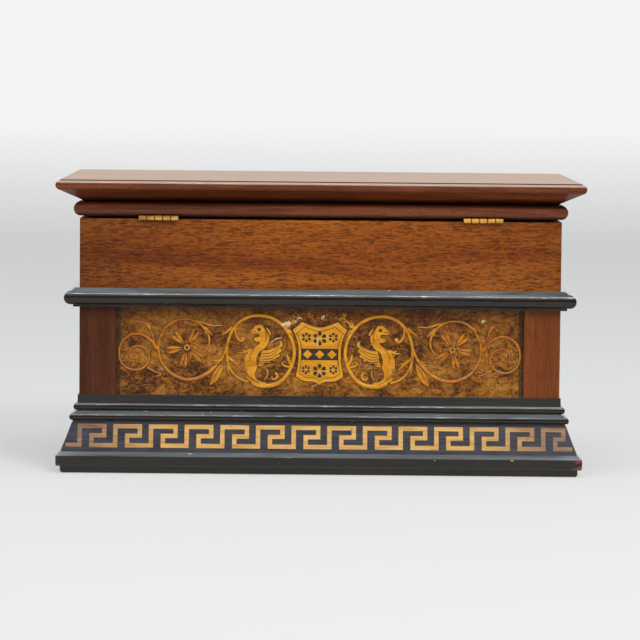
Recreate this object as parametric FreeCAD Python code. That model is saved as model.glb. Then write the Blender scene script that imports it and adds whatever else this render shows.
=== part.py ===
import FreeCAD, Part
import math
import os
from FreeCAD import Vector

os.makedirs("parts", exist_ok=True)

# A wind-up music box: a moulded wooden casket with a lever-wound cylinder movement inside.
# Millimetres, +Z up. The origin is the middle of the underside. X is the width and Y the depth:
# the hinges are at -Y, the box opens towards +Y, and +X is on the left of a person at the front.

# Case body and boards
CASE_WIDTH = 300.0
CASE_DEPTH = 162.0
WALL = 6.5
FACING = 3.5
PANEL_VENEER = 1.0
POST_WIDTH = 22.5
PANEL_HEIGHT = 55.0
FRIEZE_HEIGHT = 43.0
BOTTOM_BOARD = 6.0
BOTTOM_LIFT = 2.0
CHAMBER_HEIGHT = 48.0
SOUNDBOARD = 6.0
BEARER = 10.0
LIP_THICKNESS = 2.5
LIP_DEPTH = 32.0

# Base mouldings: heights, and how far they stand out from the body
FOOT_HEIGHT = 4.6
FOOT_OUT = 11.2
FOOT_ROUND = 2.0
PLINTH_FACE = 5.6
PLINTH_OUT = 13.8
PLINTH_EASE = 0.8
PLINTH_BEVEL = 2.4
KEY_BAND_HEIGHT = 17.9
KEY_BAND_FOOT_OUT = 10.9
KEY_BAND_HEAD_OUT = 4.1
STEP_QUIRK = 1.0
LOWER_ROUND = 2.2
LOWER_ROUND_OUT = 5.8
STEP_RISER = 1.8
UPPER_ROUND = 2.2
UPPER_ROUND_OUT = 3.4
STEP_FILLET = 5.4
STEP_FILLET_OUT = 0.9

# Waist moulding
WAIST_STEP = 1.5
WAIST_STEP_OUT = 3.8
WAIST_ROUND = 4.3
WAIST_OUT = 9.2
WAIST_CAP = 1.8
WAIST_CAP_OUT = 2.6

# Lid
BEAD_HEIGHT = 9.0
BEAD_OUT = 3.6
NECK_IN = 2.0
COVE_HEIGHT = 7.5
COVE_EASE = 1.0
COVE_OUT = 12.2
NOSE_HEIGHT = 5.7
NOSE_OUT = 14.3
TOP_QUIRK = 0.6
TOP_EDGE_OUT = 11.5
RAIL_INSET = 1.5

# Butt hinges
HINGE_X = 101.0
HINGE_LENGTH = 25.0
HINGE_LEAF = 0.8
HINGE_LEAF_WIDTH = 8.5
HINGE_LEAF_GAP = 0.1
KNUCKLES = 5
KNUCKLE_RADIUS = 1.8
KNUCKLE_GAP = 0.2
HINGE_STANDOFF = 0.1
HINGE_PIN_RADIUS = 0.9
HINGE_CLEAR = 0.3

# Fits: radial room of a turning shaft, of a seated piece, and of a screw in its hole
RUN_FIT = 0.05
SEAT_FIT = 0.02
SCREW_FIT = 0.05

# Bedplate, with its borders beyond the pieces that stand on it
BED_THICKNESS = 5.0
BED_LEFT_BORDER = 12.5
BED_RIGHT_BORDER = 18.0
BED_REAR_BORDER = 3.2
BED_FRONT_BORDER = 5.8
BED_CORNER = 6.0
BED_SCREW_INSET = 7.0

# Screws
SCREW_HEAD_RADIUS = 2.3
SCREW_HEAD = 1.8
SCREW_SHANK_RADIUS = 1.3
SCREW_LENGTH = 7.0

# Cylinder
AXIS_HEIGHT = 27.0
CYLINDER_Y = -2.0
CYLINDER_MID_X = -4.0
CYLINDER_LENGTH = 108.0
CYLINDER_RADIUS = 17.0
CYLINDER_WALL = 1.6
END_CAP = 2.5
CYLINDER_ARBOR_RADIUS = 2.5
CYLINDER_PIVOT_RADIUS = 1.8
PIN_OUT = 0.9
PIN_ROOT = 0.8
PIN_RADIUS = 0.4
PIN_SIDES = 6
PINS_PER_TOOTH = 3

# Comb
COMB_TEETH = 48
COMB_MARGIN = 2.4
TOOTH_GAP = 0.55
TOOTH_THICKNESS = 1.2
TIP_GAP = 0.25
BASS_TOOTH = 26.0
TREBLE_TOOTH = 15.0
COMB_DEPTH = 38.0
COMB_SPINE = 2.4
COMB_BASE_INSET = 1.5
COMB_SCREWS = 5
COMB_SCREW_BACK = 5.5

# Tooth form of the wheels, as shares of the module
TOOTH_HEAD = 0.9
TOOTH_ROOT = 1.15
TOOTH_SLACK = 0.12
PRESSURE_ANGLE = math.radians(20)
CENTRE_SLACK = 0.02

# Spring barrel and its train to the cylinder
BARREL_MODULE = 0.9
BARREL_TEETH = 48
PINION_TEETH = 16
PINION_LENGTH = 7.0
PINION_GAP = 3.0
BARREL_WHEEL = 3.5
BARREL_LENGTH = 28.0
BARREL_RADIUS = 19.4
BARREL_WALL = 1.6
BARREL_CAP = 2.0
BARREL_ARBOR_RADIUS = 3.2
BARREL_PIVOT_RADIUS = 2.4
SPRING_STRIP = 0.5
SPRING_TURNS = 7
SPRING_CORE = 5.0
SPRING_ROOM = 0.8

# Bridges that carry the cylinder and the barrel
BRIDGE = 5.0
BRIDGE_GAP = 2.0
BRIDGE_HEAD = 8.0
BRIDGE_FOOT_HALF = 14.5
BRIDGE_FOOT = 4.0
BRIDGE_SCREW_INSET = 3.2
OUTER_BRIDGE_HEAD = 11.0
OUTER_BRIDGE_FOOT_HALF = 18.0

# Winding: ratchet, click, lever and pawl; angles run from +Y towards +Z
RATCHET = 2.5
RATCHET_TEETH = 24
RATCHET_TIP = 10.5
RATCHET_ROOT = 9.0
SIDE_GAP = 1.0
CLICK_PIVOT_REACH = 14.5
CLICK_PIVOT_ANGLE = math.radians(-60)
CLICK_TIP_ANGLE = math.radians(-100)
CLICK_LIFT = 0.4
CLICK_BOSS = 2.4
STUD_RADIUS = 1.2
STUD_DEPTH = 3.0
LEVER = 5.0
LEVER_HUB = 8.0
LEVER_REACH = 46.0
LEVER_FOOT_HALF = 5.0
LEVER_HEAD_HALF = 3.2
LEVER_HEAD_ROUND = 4.0
ARBOR_END = 4.0
KNOB_LENGTH = 16.0
KNOB_RADIUS = 5.2
KNOB_NECK = 2.4
KNOB_TANG = 4.0
KNOB_ROOM = 9.8
PAWL_PIVOT_REACH = 16.0
PAWL_BACK = 2.2
PAWL_FACE_ANGLE = math.radians(53)
PAWL_PLAY = 0.12
PAWL_HEEL = 0.5

# Governor train
GREAT_MODULE = 0.7
GREAT_TEETH = 60
GREAT_WHEEL = 2.5
GREAT_GAP = 4.0
GREAT_RIM = 3.0
GREAT_HUB = 6.0
SPOKES = 5
SPOKE_WIDTH = 2.6
FIRST_PINION_TEETH = 12
FIRST_PINION_LENGTH = 5.5
FIRST_ANGLE = math.radians(-19)
FIRST_MODULE = 0.6
FIRST_TEETH = 36
FIRST_WHEEL = 2.0
FIRST_RIM = 2.0
FIRST_HUB = 3.6
FIRST_SPOKE_WIDTH = 1.6
SECOND_PINION_TEETH = 9
SECOND_PINION_LENGTH = 5.0
SECOND_ANGLE = math.radians(-20)
TRAIN_ARBOR_RADIUS = 1.5
TRAIN_PIVOT_RADIUS = 1.0
WORM_TEETH = 20
WORM_STARTS = 2
WORM_PITCH = 2.0
WORM_WHEEL = 1.2
WORM_WHEEL_SLACK = 0.25
WORM_CORE = 1.75
WORM_PITCH_RADIUS = 2.4
WORM_CREST = 3.0
WORM_ROOT_HALF = 0.5
WORM_CREST_HALF = 0.22
WORM_TURNS = 4
WORM_PIVOT_RADIUS = 0.8

# Governor frame, cock and fly
CHEEK = 3.0
CHEEK_GAP = 5.0
CHEEK_HEAD = 6.0
CHEEK_SHOULDER = 2.0
FRAME_FLOOR = 3.0
FRAME_MARGIN = 5.0
FRAME_START = 15.0
FRAME_SCREW_SPREAD = 12.0
FIRST_WHEEL_GAP = 3.0
WORM_WHEEL_GAP = 8.0
FLY_RADIUS = 9.0
FLY_HEIGHT = 10.0
FLY_BLADE = 0.6
FLY_CORNER = 2.5
FLY_HUB = 2.0
FLY_GAP = 1.8
FLY_LIFT = 6.0
COCK = 3.0
COCK_HALF = 4.0
COCK_GAP = 4.0

# Stop lever
STOP_STANDOFF = 3.1
STOP_AHEAD = 11.7
STOP_STUD_RADIUS = 2.5
STOP_LEVER = 2.0
STOP_ARM_HALF = 1.5
STOP_HUB = 4.0
STOP_TIP_HALF = 0.8
STOP_GRIP_ROOM = 15.0
STOP_HANDLE_KNOB = 2.6
STOP_HANDLE_RISE = 7.0
STOP_MISS = 0.5
STOP_TRAVEL = math.radians(25)

# Worked-out levels, from the floor up
HALF_W = CASE_WIDTH / 2
HALF_D = CASE_DEPTH / 2
Z_PLINTH = FOOT_HEIGHT + PLINTH_FACE + PLINTH_BEVEL + PLINTH_EASE
Z_KEY = Z_PLINTH + KEY_BAND_HEIGHT
Z_STEP = Z_KEY + STEP_QUIRK + 2 * LOWER_ROUND + STEP_RISER + 2 * UPPER_ROUND + STEP_FILLET
Z_PANEL = Z_STEP + PANEL_HEIGHT
Z_WAIST = Z_PANEL + WAIST_STEP + 2 * WAIST_ROUND + WAIST_CAP
Z_RIM = Z_WAIST + FRIEZE_HEIGHT
Z_LID = Z_RIM + 2 * HINGE_LEAF + HINGE_LEAF_GAP
Z_BEAD = Z_LID + BEAD_HEIGHT
Z_COVE = Z_BEAD + COVE_HEIGHT
Z_NOSE = Z_COVE + NOSE_HEIGHT
Z_TOP = Z_NOSE + TOP_QUIRK
Z_CHAMBER = BOTTOM_LIFT + BOTTOM_BOARD + CHAMBER_HEIGHT
Z_BED = Z_CHAMBER + SOUNDBOARD
Z_BED_TOP = Z_BED + BED_THICKNESS
Z_AXIS = Z_BED_TOP + AXIS_HEIGHT

# Worked-out faces of the case, as half widths and depths
FACE_IN = FACING + WALL
INSIDE_W = HALF_W - FACE_IN
INSIDE_D = HALF_D - FACE_IN
RAIL_DEPTH = FACE_IN + LIP_THICKNESS + RAIL_INSET
HINGE_Y = -(HALF_D + KNUCKLE_RADIUS + HINGE_STANDOFF)
HINGE_Z = (Z_RIM + Z_LID) / 2

# Worked-out places along the cylinder's axis
CYLINDER_LEFT = CYLINDER_MID_X + CYLINDER_LENGTH / 2
CYLINDER_RIGHT = CYLINDER_MID_X - CYLINDER_LENGTH / 2
PINION_X = CYLINDER_LEFT + PINION_GAP
LEFT_BRIDGE_X = PINION_X + PINION_LENGTH + BRIDGE_GAP
BARREL_X = PINION_X + (PINION_LENGTH - BARREL_WHEEL) / 2
DRUM_X = BARREL_X + BARREL_WHEEL
BARREL_END_X = DRUM_X + BARREL_LENGTH
INNER_BRIDGE_X = BARREL_X - BRIDGE_GAP - BRIDGE
OUTER_BRIDGE_X = BARREL_END_X + BRIDGE_GAP
RATCHET_X = OUTER_BRIDGE_X + BRIDGE + SIDE_GAP
LEVER_X = RATCHET_X + RATCHET + SIDE_GAP
ARBOR_END_X = LEVER_X + LEVER + ARBOR_END
GREAT_X = CYLINDER_RIGHT - GREAT_GAP - GREAT_WHEEL
RIGHT_BRIDGE_X = GREAT_X - GREAT_GAP - BRIDGE
INNER_CHEEK_X = GREAT_X - CHEEK_GAP - CHEEK
FIRST_WHEEL_X = INNER_CHEEK_X - FIRST_WHEEL_GAP - FIRST_WHEEL
WORM_WHEEL_X = FIRST_WHEEL_X - WORM_WHEEL_GAP - WORM_WHEEL
WORM_X = WORM_WHEEL_X + WORM_WHEEL / 2
OUTER_CHEEK_X = WORM_X - FLY_RADIUS - FLY_GAP - CHEEK

# Worked-out axes across the movement, each as (y, z)
BARREL_CENTRES = BARREL_MODULE * (BARREL_TEETH + PINION_TEETH) / 2 + CENTRE_SLACK
FIRST_CENTRES = GREAT_MODULE * (GREAT_TEETH + FIRST_PINION_TEETH) / 2 + CENTRE_SLACK
SECOND_CENTRES = FIRST_MODULE * (FIRST_TEETH + SECOND_PINION_TEETH) / 2 + CENTRE_SLACK
CYLINDER_AXIS = (CYLINDER_Y, Z_AXIS)
BARREL_AXIS = (CYLINDER_Y - BARREL_CENTRES, Z_AXIS)
FIRST_AXIS = (CYLINDER_Y + FIRST_CENTRES * math.cos(FIRST_ANGLE),
              Z_AXIS + FIRST_CENTRES * math.sin(FIRST_ANGLE))
SECOND_AXIS = (FIRST_AXIS[0] + SECOND_CENTRES * math.cos(SECOND_ANGLE),
               FIRST_AXIS[1] + SECOND_CENTRES * math.sin(SECOND_ANGLE))
WORM_MODULE = WORM_PITCH / math.pi
WORM_Y = SECOND_AXIS[0] + WORM_MODULE * WORM_TEETH / 2 + WORM_PITCH_RADIUS + CENTRE_SLACK

# Worked-out rest of the winding lever: it leans back until its knob is near the rear lip
LEVER_TIP = LEVER_REACH + LEVER_HEAD_ROUND + KNOB_LENGTH
LEVER_REST = math.asin((INSIDE_D - LIP_THICKNESS + BARREL_AXIS[0] - KNOB_ROOM) / LEVER_TIP)

# Worked-out heights of the governor
Z_FRAME_FLOOR = Z_BED_TOP + FRAME_FLOOR
WORM_LENGTH = WORM_TURNS * WORM_PITCH * WORM_STARTS
Z_WORM = SECOND_AXIS[1] - WORM_LENGTH / 2
Z_FLY = SECOND_AXIS[1] + WORM_LENGTH / 2 + FLY_LIFT
Z_COCK = Z_FLY + FLY_HEIGHT + COCK_GAP
Z_STOP = Z_FLY + FLY_HEIGHT / 2 - STOP_LEVER / 2

# Worked-out places of the comb
TOOTH_PITCH = (CYLINDER_LENGTH - 2 * COMB_MARGIN) / COMB_TEETH
TIP_Y = CYLINDER_Y + CYLINDER_RADIUS + PIN_OUT + TIP_GAP
COMB_BACK = TIP_Y + COMB_DEPTH
Z_COMB = Z_AXIS + TOOTH_THICKNESS / 2
COMB_BASE_FRONT = TIP_Y + BASS_TOOTH + COMB_BASE_INSET

# Worked-out places of the stop lever and edges of the bedplate
STOP_X = OUTER_CHEEK_X - STOP_STANDOFF
STOP_Y = WORM_Y + STOP_AHEAD
STOP_HANDLE = INSIDE_W + STOP_X - STOP_GRIP_ROOM
BED_LEFT = OUTER_BRIDGE_X + BRIDGE + BED_LEFT_BORDER
BED_RIGHT = OUTER_CHEEK_X - BED_RIGHT_BORDER
BED_REAR = BARREL_AXIS[0] - OUTER_BRIDGE_FOOT_HALF - BED_REAR_BORDER
BED_FRONT = COMB_BACK + BED_FRONT_BORDER

X_AXIS = Vector(1, 0, 0)
Z_UP = Vector(0, 0, 1)


# Building blocks

def board(x0, x1, y0, y1, z0, z1):
    """A plain block between two opposite corners."""
    return Part.makeBox(x1 - x0, y1 - y0, z1 - z0, Vector(x0, y0, z0))


def rod_x(x0, x1, axis, radius):
    """A round bar along X on an axis (y, z)."""
    return Part.makeCylinder(radius, x1 - x0, Vector(x0, axis[0], axis[1]), X_AXIS)


def rod_z(x, y, z0, z1, radius):
    """An upright round bar."""
    return Part.makeCylinder(radius, z1 - z0, Vector(x, y, z0), Z_UP)


def wire_through(start, steps):
    """A closed wire: a step that is one point is a line, and a pair of points is an arc (middle, end)."""
    edges = []
    here = start
    for step in steps + [start]:
        if isinstance(step, tuple):
            end = step[1]
            edges.append(Part.Arc(here, step[0], end).toShape())
        else:
            end = step
            edges.append(Part.makeLine(here, end))
        here = end
    return Part.Wire(edges)


def plate(start, steps, depth):
    """A flat outline drawn out along the vector depth."""
    return Part.Face(wire_through(start, steps)).extrude(depth)


def ring_of_lengths(start, steps, reach):
    """Four mitred lengths of moulding round the case: rear, front, right and left.

    The section is given as (out, z) points, where out is measured from the face of the body, and
    reach is more than its largest out and less than half of the case's depth.
    """
    lengths = []
    for half_long, half_across, turns in (
        (HALF_W, HALF_D, (0, 180)),
        (HALF_D, HALF_W, (90, -90)),
    ):
        def place(point):
            return Vector(-half_long - reach, -half_across - point[0], point[1])

        placed = []
        for step in steps:
            if isinstance(step[0], tuple):
                placed.append((place(step[0]), place(step[1])))
            else:
                placed.append(place(step))
        bar = plate(place(start), placed, Vector(2 * (half_long + reach), 0, 0))
        inner = Vector(half_long - reach, reach - half_across, 0)
        outer = Vector(half_long + reach, -half_across - reach, 0)
        corners = [Vector(-outer.x, outer.y, 0), outer, inner, Vector(-inner.x, inner.y, 0)]
        mitre = plate(corners[0], corners[1:], Vector(0, 0, Z_TOP))
        length = bar.common(mitre).Solids[0]
        for turn in turns:
            turned = length.copy()
            turned.rotate(Vector(0, 0, 0), Z_UP, turn)
            lengths.append(turned)
    return lengths


def polar(x, axis, radius, angle):
    """The point at a radius and angle round an axis along X."""
    return Vector(x, axis[0] + radius * math.cos(angle), axis[1] + radius * math.sin(angle))


def gear_x(teeth, module, x0, x1, axis, phase, slack=TOOTH_SLACK):
    """A toothed disc on an axis along X, with the middle of one tooth at the angle phase."""
    pitch_radius = module * teeth / 2
    base_radius = pitch_radius * math.cos(PRESSURE_ANGLE)
    flank = math.tan(PRESSURE_ANGLE) - PRESSURE_ANGLE
    half_tooth = math.pi / (2 * teeth) - slack * module / (2 * pitch_radius)
    points = []
    for tooth in range(teeth):
        middle = phase + 2 * math.pi * tooth / teeth
        rising = []
        root = pitch_radius - TOOTH_ROOT * module
        tip = pitch_radius + TOOTH_HEAD * module
        for radius in (root, pitch_radius, tip):
            lean = math.acos(min(1.0, base_radius / radius))
            rising.append((radius, half_tooth + flank - math.tan(lean) + lean))
        for radius, half in rising:
            points.append(polar(x0, axis, radius, middle - half))
        for radius, half in reversed(rising):
            points.append(polar(x0, axis, radius, middle + half))
    return plate(points[0], points[1:], Vector(x1 - x0, 0, 0))


def meshing_phase(driver_teeth, driver_phase, teeth, direction):
    """The phase of a wheel that meshes with a driver, where direction points from the driver to it."""
    offset = 0.5 - driver_teeth * (driver_phase - direction) / (2 * math.pi)
    return direction + math.pi + 2 * math.pi / teeth * offset


def spoke_windows(x0, x1, axis, inner, outer, width):
    """The openings between the spokes of a wheel."""
    windows = []
    for k in range(SPOKES):
        start = 2 * math.pi * k / SPOKES
        stop = 2 * math.pi * (k + 1) / SPOKES
        middle = (start + stop) / 2
        near = math.asin(width / 2 / inner)
        far = math.asin(width / 2 / outer)
        rim_arc = (polar(x0, axis, outer, middle), polar(x0, axis, outer, stop - far))
        hub_arc = (polar(x0, axis, inner, middle), polar(x0, axis, inner, start + near))
        steps = [rim_arc, polar(x0, axis, inner, stop - near), hub_arc]
        windows.append(plate(polar(x0, axis, outer, start + far), steps, Vector(x1 - x0, 0, 0)))
    return Part.makeCompound(windows)


def screw(x, y, z):
    """A cheese-head screw whose head sits on the level z."""
    head = rod_z(x, y, z, z + SCREW_HEAD, SCREW_HEAD_RADIUS)
    shank = rod_z(x, y, z - SCREW_LENGTH, z, SCREW_SHANK_RADIUS)
    return head.fuse(shank).removeSplitter()


def screw_holes(places, z):
    """Holes for the shanks of screws that sit on the level z."""
    radius = SCREW_SHANK_RADIUS + SCREW_FIT
    return Part.makeCompound([rod_z(x, y, z - SCREW_LENGTH - SCREW_FIT, z, radius) for x, y in places])


# Case

def case_walls():
    """The four boards of the carcass."""
    outside_w = HALF_W - FACING
    outside_d = HALF_D - FACING
    rear = board(-outside_w, outside_w, -outside_d, -INSIDE_D, BOTTOM_LIFT, Z_RIM)
    front = board(-outside_w, outside_w, INSIDE_D, outside_d, BOTTOM_LIFT, Z_RIM)
    left = board(INSIDE_W, outside_w, -INSIDE_D, INSIDE_D, BOTTOM_LIFT, Z_RIM)
    right = board(-outside_w, -INSIDE_W, -INSIDE_D, INSIDE_D, BOTTOM_LIFT, Z_RIM)
    return rear, front, left, right


def inlaid_panels():
    """The veneered panels, set back between the corner posts."""
    half_w = HALF_W - POST_WIDTH
    half_d = HALF_D - POST_WIDTH
    back_w = HALF_W - FACING
    back_d = HALF_D - FACING
    rear = board(-half_w, half_w, -back_d - PANEL_VENEER, -back_d, Z_STEP, Z_PANEL)
    front = board(-half_w, half_w, back_d, back_d + PANEL_VENEER, Z_STEP, Z_PANEL)
    left = board(back_w, back_w + PANEL_VENEER, -half_d, half_d, Z_STEP, Z_PANEL)
    right = board(-back_w - PANEL_VENEER, -back_w, -half_d, half_d, Z_STEP, Z_PANEL)
    return rear, front, left, right


def corner_posts():
    """Four angle pieces that wrap the corners of the carcass."""
    posts = []
    for sx in (-1, 1):
        for sy in (-1, 1):
            outline = [
                Vector(sx * HALF_W, sy * HALF_D, Z_STEP),
                Vector(sx * (HALF_W - POST_WIDTH), sy * HALF_D, Z_STEP),
                Vector(sx * (HALF_W - POST_WIDTH), sy * (HALF_D - FACING), Z_STEP),
                Vector(sx * (HALF_W - FACING), sy * (HALF_D - FACING), Z_STEP),
                Vector(sx * (HALF_W - FACING), sy * (HALF_D - POST_WIDTH), Z_STEP),
                Vector(sx * HALF_W, sy * (HALF_D - POST_WIDTH), Z_STEP),
            ]
            posts.append(plate(outline[0], outline[1:], Vector(0, 0, PANEL_HEIGHT)))
    return posts


def plinth_moulding():
    """The foot and the plinth above it, with an eased lower edge and a bevelled upper one."""
    face_foot = FOOT_HEIGHT + PLINTH_EASE
    face_head = face_foot + PLINTH_FACE
    round_out = FOOT_OUT - FOOT_ROUND
    round_mid = FOOT_ROUND * math.sqrt(0.5)
    steps = [
        (round_out, 0),
        ((round_out + round_mid, FOOT_ROUND - round_mid), (FOOT_OUT, FOOT_ROUND)),
        (FOOT_OUT, FOOT_HEIGHT),
        (PLINTH_OUT - PLINTH_EASE, FOOT_HEIGHT),
        (PLINTH_OUT, face_foot),
        (PLINTH_OUT, face_head),
        (KEY_BAND_FOOT_OUT, Z_PLINTH),
        (-FACING, Z_PLINTH),
    ]
    return ring_of_lengths((-FACING, 0), steps, PLINTH_OUT + FACING)


def key_band():
    """The sloping band that carries the key border."""
    steps = [(KEY_BAND_FOOT_OUT, Z_PLINTH), (KEY_BAND_HEAD_OUT, Z_KEY), (-FACING, Z_KEY)]
    return ring_of_lengths((-FACING, Z_PLINTH), steps, PLINTH_OUT + FACING)


def stepped_moulding():
    """Two rounds and a fillet that step in from the sloping band to the panels."""
    lower_seat = LOWER_ROUND_OUT - LOWER_ROUND
    upper_seat = UPPER_ROUND_OUT - UPPER_ROUND
    lower_foot = Z_KEY + STEP_QUIRK
    lower_mid = lower_foot + LOWER_ROUND
    lower_head = lower_mid + LOWER_ROUND
    upper_foot = lower_head + STEP_RISER
    upper_mid = upper_foot + UPPER_ROUND
    upper_head = upper_mid + UPPER_ROUND
    steps = [
        (lower_seat, Z_KEY),
        (lower_seat, lower_foot),
        ((LOWER_ROUND_OUT, lower_mid), (lower_seat, lower_head)),
        (upper_seat, upper_foot),
        ((UPPER_ROUND_OUT, upper_mid), (upper_seat, upper_head)),
        (STEP_FILLET_OUT, upper_head),
        (STEP_FILLET_OUT, Z_STEP),
        (-FACING, Z_STEP),
    ]
    return ring_of_lengths((-FACING, Z_KEY), steps, PLINTH_OUT + FACING)


def waist_moulding():
    """The half-round band between the panels and the frieze."""
    seat = WAIST_OUT - WAIST_ROUND
    foot = Z_PANEL + WAIST_STEP
    head = foot + 2 * WAIST_ROUND
    steps = [
        (WAIST_STEP_OUT, Z_PANEL),
        (WAIST_STEP_OUT, foot),
        (seat, foot),
        ((WAIST_OUT, foot + WAIST_ROUND), (seat, head)),
        (WAIST_CAP_OUT, Z_WAIST),
        (-FACING, Z_WAIST),
    ]
    return ring_of_lengths((-FACING, Z_PANEL), steps, PLINTH_OUT + FACING)


def frieze_boards():
    """The plain facing boards above the waist."""
    steps = [(0, Z_WAIST), (0, Z_RIM), (-FACING, Z_RIM)]
    return ring_of_lengths((-FACING, Z_WAIST), steps, PLINTH_OUT + FACING)


def dust_lip():
    """Lining strips inside the rim; they stand above it, and the closed lid rests on them."""
    foot = Z_LID - LIP_DEPTH
    near_w = INSIDE_W - LIP_THICKNESS
    near_d = INSIDE_D - LIP_THICKNESS
    return [
        board(-INSIDE_W, INSIDE_W, -INSIDE_D, -near_d, foot, Z_LID),
        board(-INSIDE_W, INSIDE_W, near_d, INSIDE_D, foot, Z_LID),
        board(near_w, INSIDE_W, -near_d, near_d, foot, Z_LID),
        board(-INSIDE_W, -near_w, -near_d, near_d, foot, Z_LID),
    ]


def bottom_board():
    """The board that closes the case below."""
    return board(-INSIDE_W, INSIDE_W, -INSIDE_D, INSIDE_D, BOTTOM_LIFT, BOTTOM_LIFT + BOTTOM_BOARD)


def soundboard():
    """The thin floor that carries the movement, drilled for the bedplate's screws."""
    floor = board(-INSIDE_W, INSIDE_W, -INSIDE_D, INSIDE_D, Z_CHAMBER, Z_BED)
    return floor.cut(screw_holes(bedplate_screw_places(), Z_BED_TOP))


def soundboard_bearers():
    """Two battens on the long walls that hold the soundboard up."""
    foot = Z_CHAMBER - BEARER
    return [
        board(-INSIDE_W, INSIDE_W, -INSIDE_D, BEARER - INSIDE_D, foot, Z_CHAMBER),
        board(-INSIDE_W, INSIDE_W, INSIDE_D - BEARER, INSIDE_D, foot, Z_CHAMBER),
    ]


# Lid

def lid_bead():
    """The rails of the lid with their round bead, relieved where the hinge knuckles turn."""
    bead_mid = BEAD_HEIGHT / 2
    steps = [
        (0, Z_LID),
        ((BEAD_OUT, Z_LID + bead_mid), (0, Z_BEAD)),
        (-RAIL_DEPTH, Z_BEAD),
    ]
    lengths = ring_of_lengths((-RAIL_DEPTH, Z_LID), steps, RAIL_DEPTH + BEAD_OUT)
    room = HINGE_LENGTH / 2 + HINGE_CLEAR
    axis = (HINGE_Y, HINGE_Z)
    relief = []
    for x in (-HINGE_X, HINGE_X):
        relief.append(rod_x(x - room, x + room, axis, KNUCKLE_RADIUS + HINGE_CLEAR))
    return [lengths[0].cut(Part.makeCompound(relief))] + lengths[1:]


def lid_cove():
    """The splayed moulding under the overhang of the top."""
    steps = [
        (-NECK_IN, Z_BEAD),
        (COVE_EASE - NECK_IN, Z_BEAD + COVE_EASE),
        (COVE_OUT, Z_COVE),
        (-RAIL_DEPTH, Z_COVE),
    ]
    return ring_of_lengths((-RAIL_DEPTH, Z_BEAD), steps, RAIL_DEPTH + COVE_OUT)


def lid_top():
    """The top board, with a round nose and a fine quirk round its upper face."""
    nose_mid = Z_COVE + NOSE_HEIGHT / 2
    steps = [
        (COVE_OUT, Z_COVE),
        ((NOSE_OUT, nose_mid), (COVE_OUT, Z_NOSE)),
        (TOP_EDGE_OUT, Z_NOSE),
        (TOP_EDGE_OUT, Z_TOP),
        (-RAIL_DEPTH, Z_TOP),
    ]
    edges = ring_of_lengths((-RAIL_DEPTH, Z_COVE), steps, RAIL_DEPTH + NOSE_OUT)
    half_w = HALF_W - RAIL_DEPTH
    half_d = HALF_D - RAIL_DEPTH
    middle = board(-half_w, half_w, -half_d, half_d, Z_COVE, Z_TOP)
    return middle.multiFuse(edges).removeSplitter()


def hinge_leaves(upper):
    """One leaf of each hinge: the upper leaf has the even knuckles, and the lower the odd ones."""
    axis = (HINGE_Y, HINGE_Z)
    step = HINGE_LENGTH / KNUCKLES
    z0 = Z_LID - HINGE_LEAF if upper else Z_RIM
    leaves = []
    for x in (-HINGE_X, HINGE_X):
        x0 = x - HINGE_LENGTH / 2
        leaf = board(x0, x0 + HINGE_LENGTH, HINGE_Y, HINGE_LEAF_WIDTH - HALF_D, z0, z0 + HINGE_LEAF)
        half_gap = KNUCKLE_GAP / 2
        for k in range(KNUCKLES):
            k0 = x0 + k * step
            k1 = k0 + step
            if (k % 2 == 1) == upper:
                leaf = leaf.fuse(rod_x(k0 + half_gap, k1 - half_gap, axis, KNUCKLE_RADIUS))
            else:
                leaf = leaf.cut(rod_x(k0 - half_gap, k1 + half_gap, axis, KNUCKLE_RADIUS + KNUCKLE_GAP))
        bore = rod_x(x0, x0 + HINGE_LENGTH, axis, HINGE_PIN_RADIUS + RUN_FIT)
        leaves.append(leaf.cut(bore).removeSplitter())
    return leaves


def hinge_pins():
    """The wires on which the knuckles turn."""
    half = HINGE_LENGTH / 2
    return [rod_x(x - half, x + half, (HINGE_Y, HINGE_Z), HINGE_PIN_RADIUS) for x in (-HINGE_X, HINGE_X)]


# Movement: what is fixed to the bedplate

def bedplate_screw_places():
    """The four corners where the bedplate is held down."""
    xs = (BED_RIGHT + BED_SCREW_INSET, BED_LEFT - BED_SCREW_INSET)
    ys = (BED_REAR + BED_SCREW_INSET, BED_FRONT - BED_SCREW_INSET)
    return [(x, y) for x in xs for y in ys]


def bridge_screw_places():
    """Two screws in the foot of each bridge."""
    places = []
    for x0, axis, foot_half in (
        (LEFT_BRIDGE_X, CYLINDER_AXIS, BRIDGE_FOOT_HALF),
        (RIGHT_BRIDGE_X, CYLINDER_AXIS, BRIDGE_FOOT_HALF),
        (INNER_BRIDGE_X, BARREL_AXIS, BRIDGE_FOOT_HALF),
        (OUTER_BRIDGE_X, BARREL_AXIS, OUTER_BRIDGE_FOOT_HALF),
    ):
        for side in (-1, 1):
            places.append((x0 + BRIDGE / 2, axis[0] + side * (foot_half - BRIDGE_SCREW_INSET)))
    return places


def frame_screw_places():
    """The two screws in the floor of the governor's frame."""
    middle = (INNER_CHEEK_X + OUTER_CHEEK_X + CHEEK) / 2
    y = FRAME_START + FRAME_MARGIN
    return [(middle + side * FRAME_SCREW_SPREAD / 2, y) for side in (-1, 1)]


def comb_screw_places():
    """A row of screws along the spine of the comb."""
    step = CYLINDER_LENGTH / COMB_SCREWS
    return [(CYLINDER_RIGHT + step * (k + 0.5), COMB_BACK - COMB_SCREW_BACK) for k in range(COMB_SCREWS)]


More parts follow.
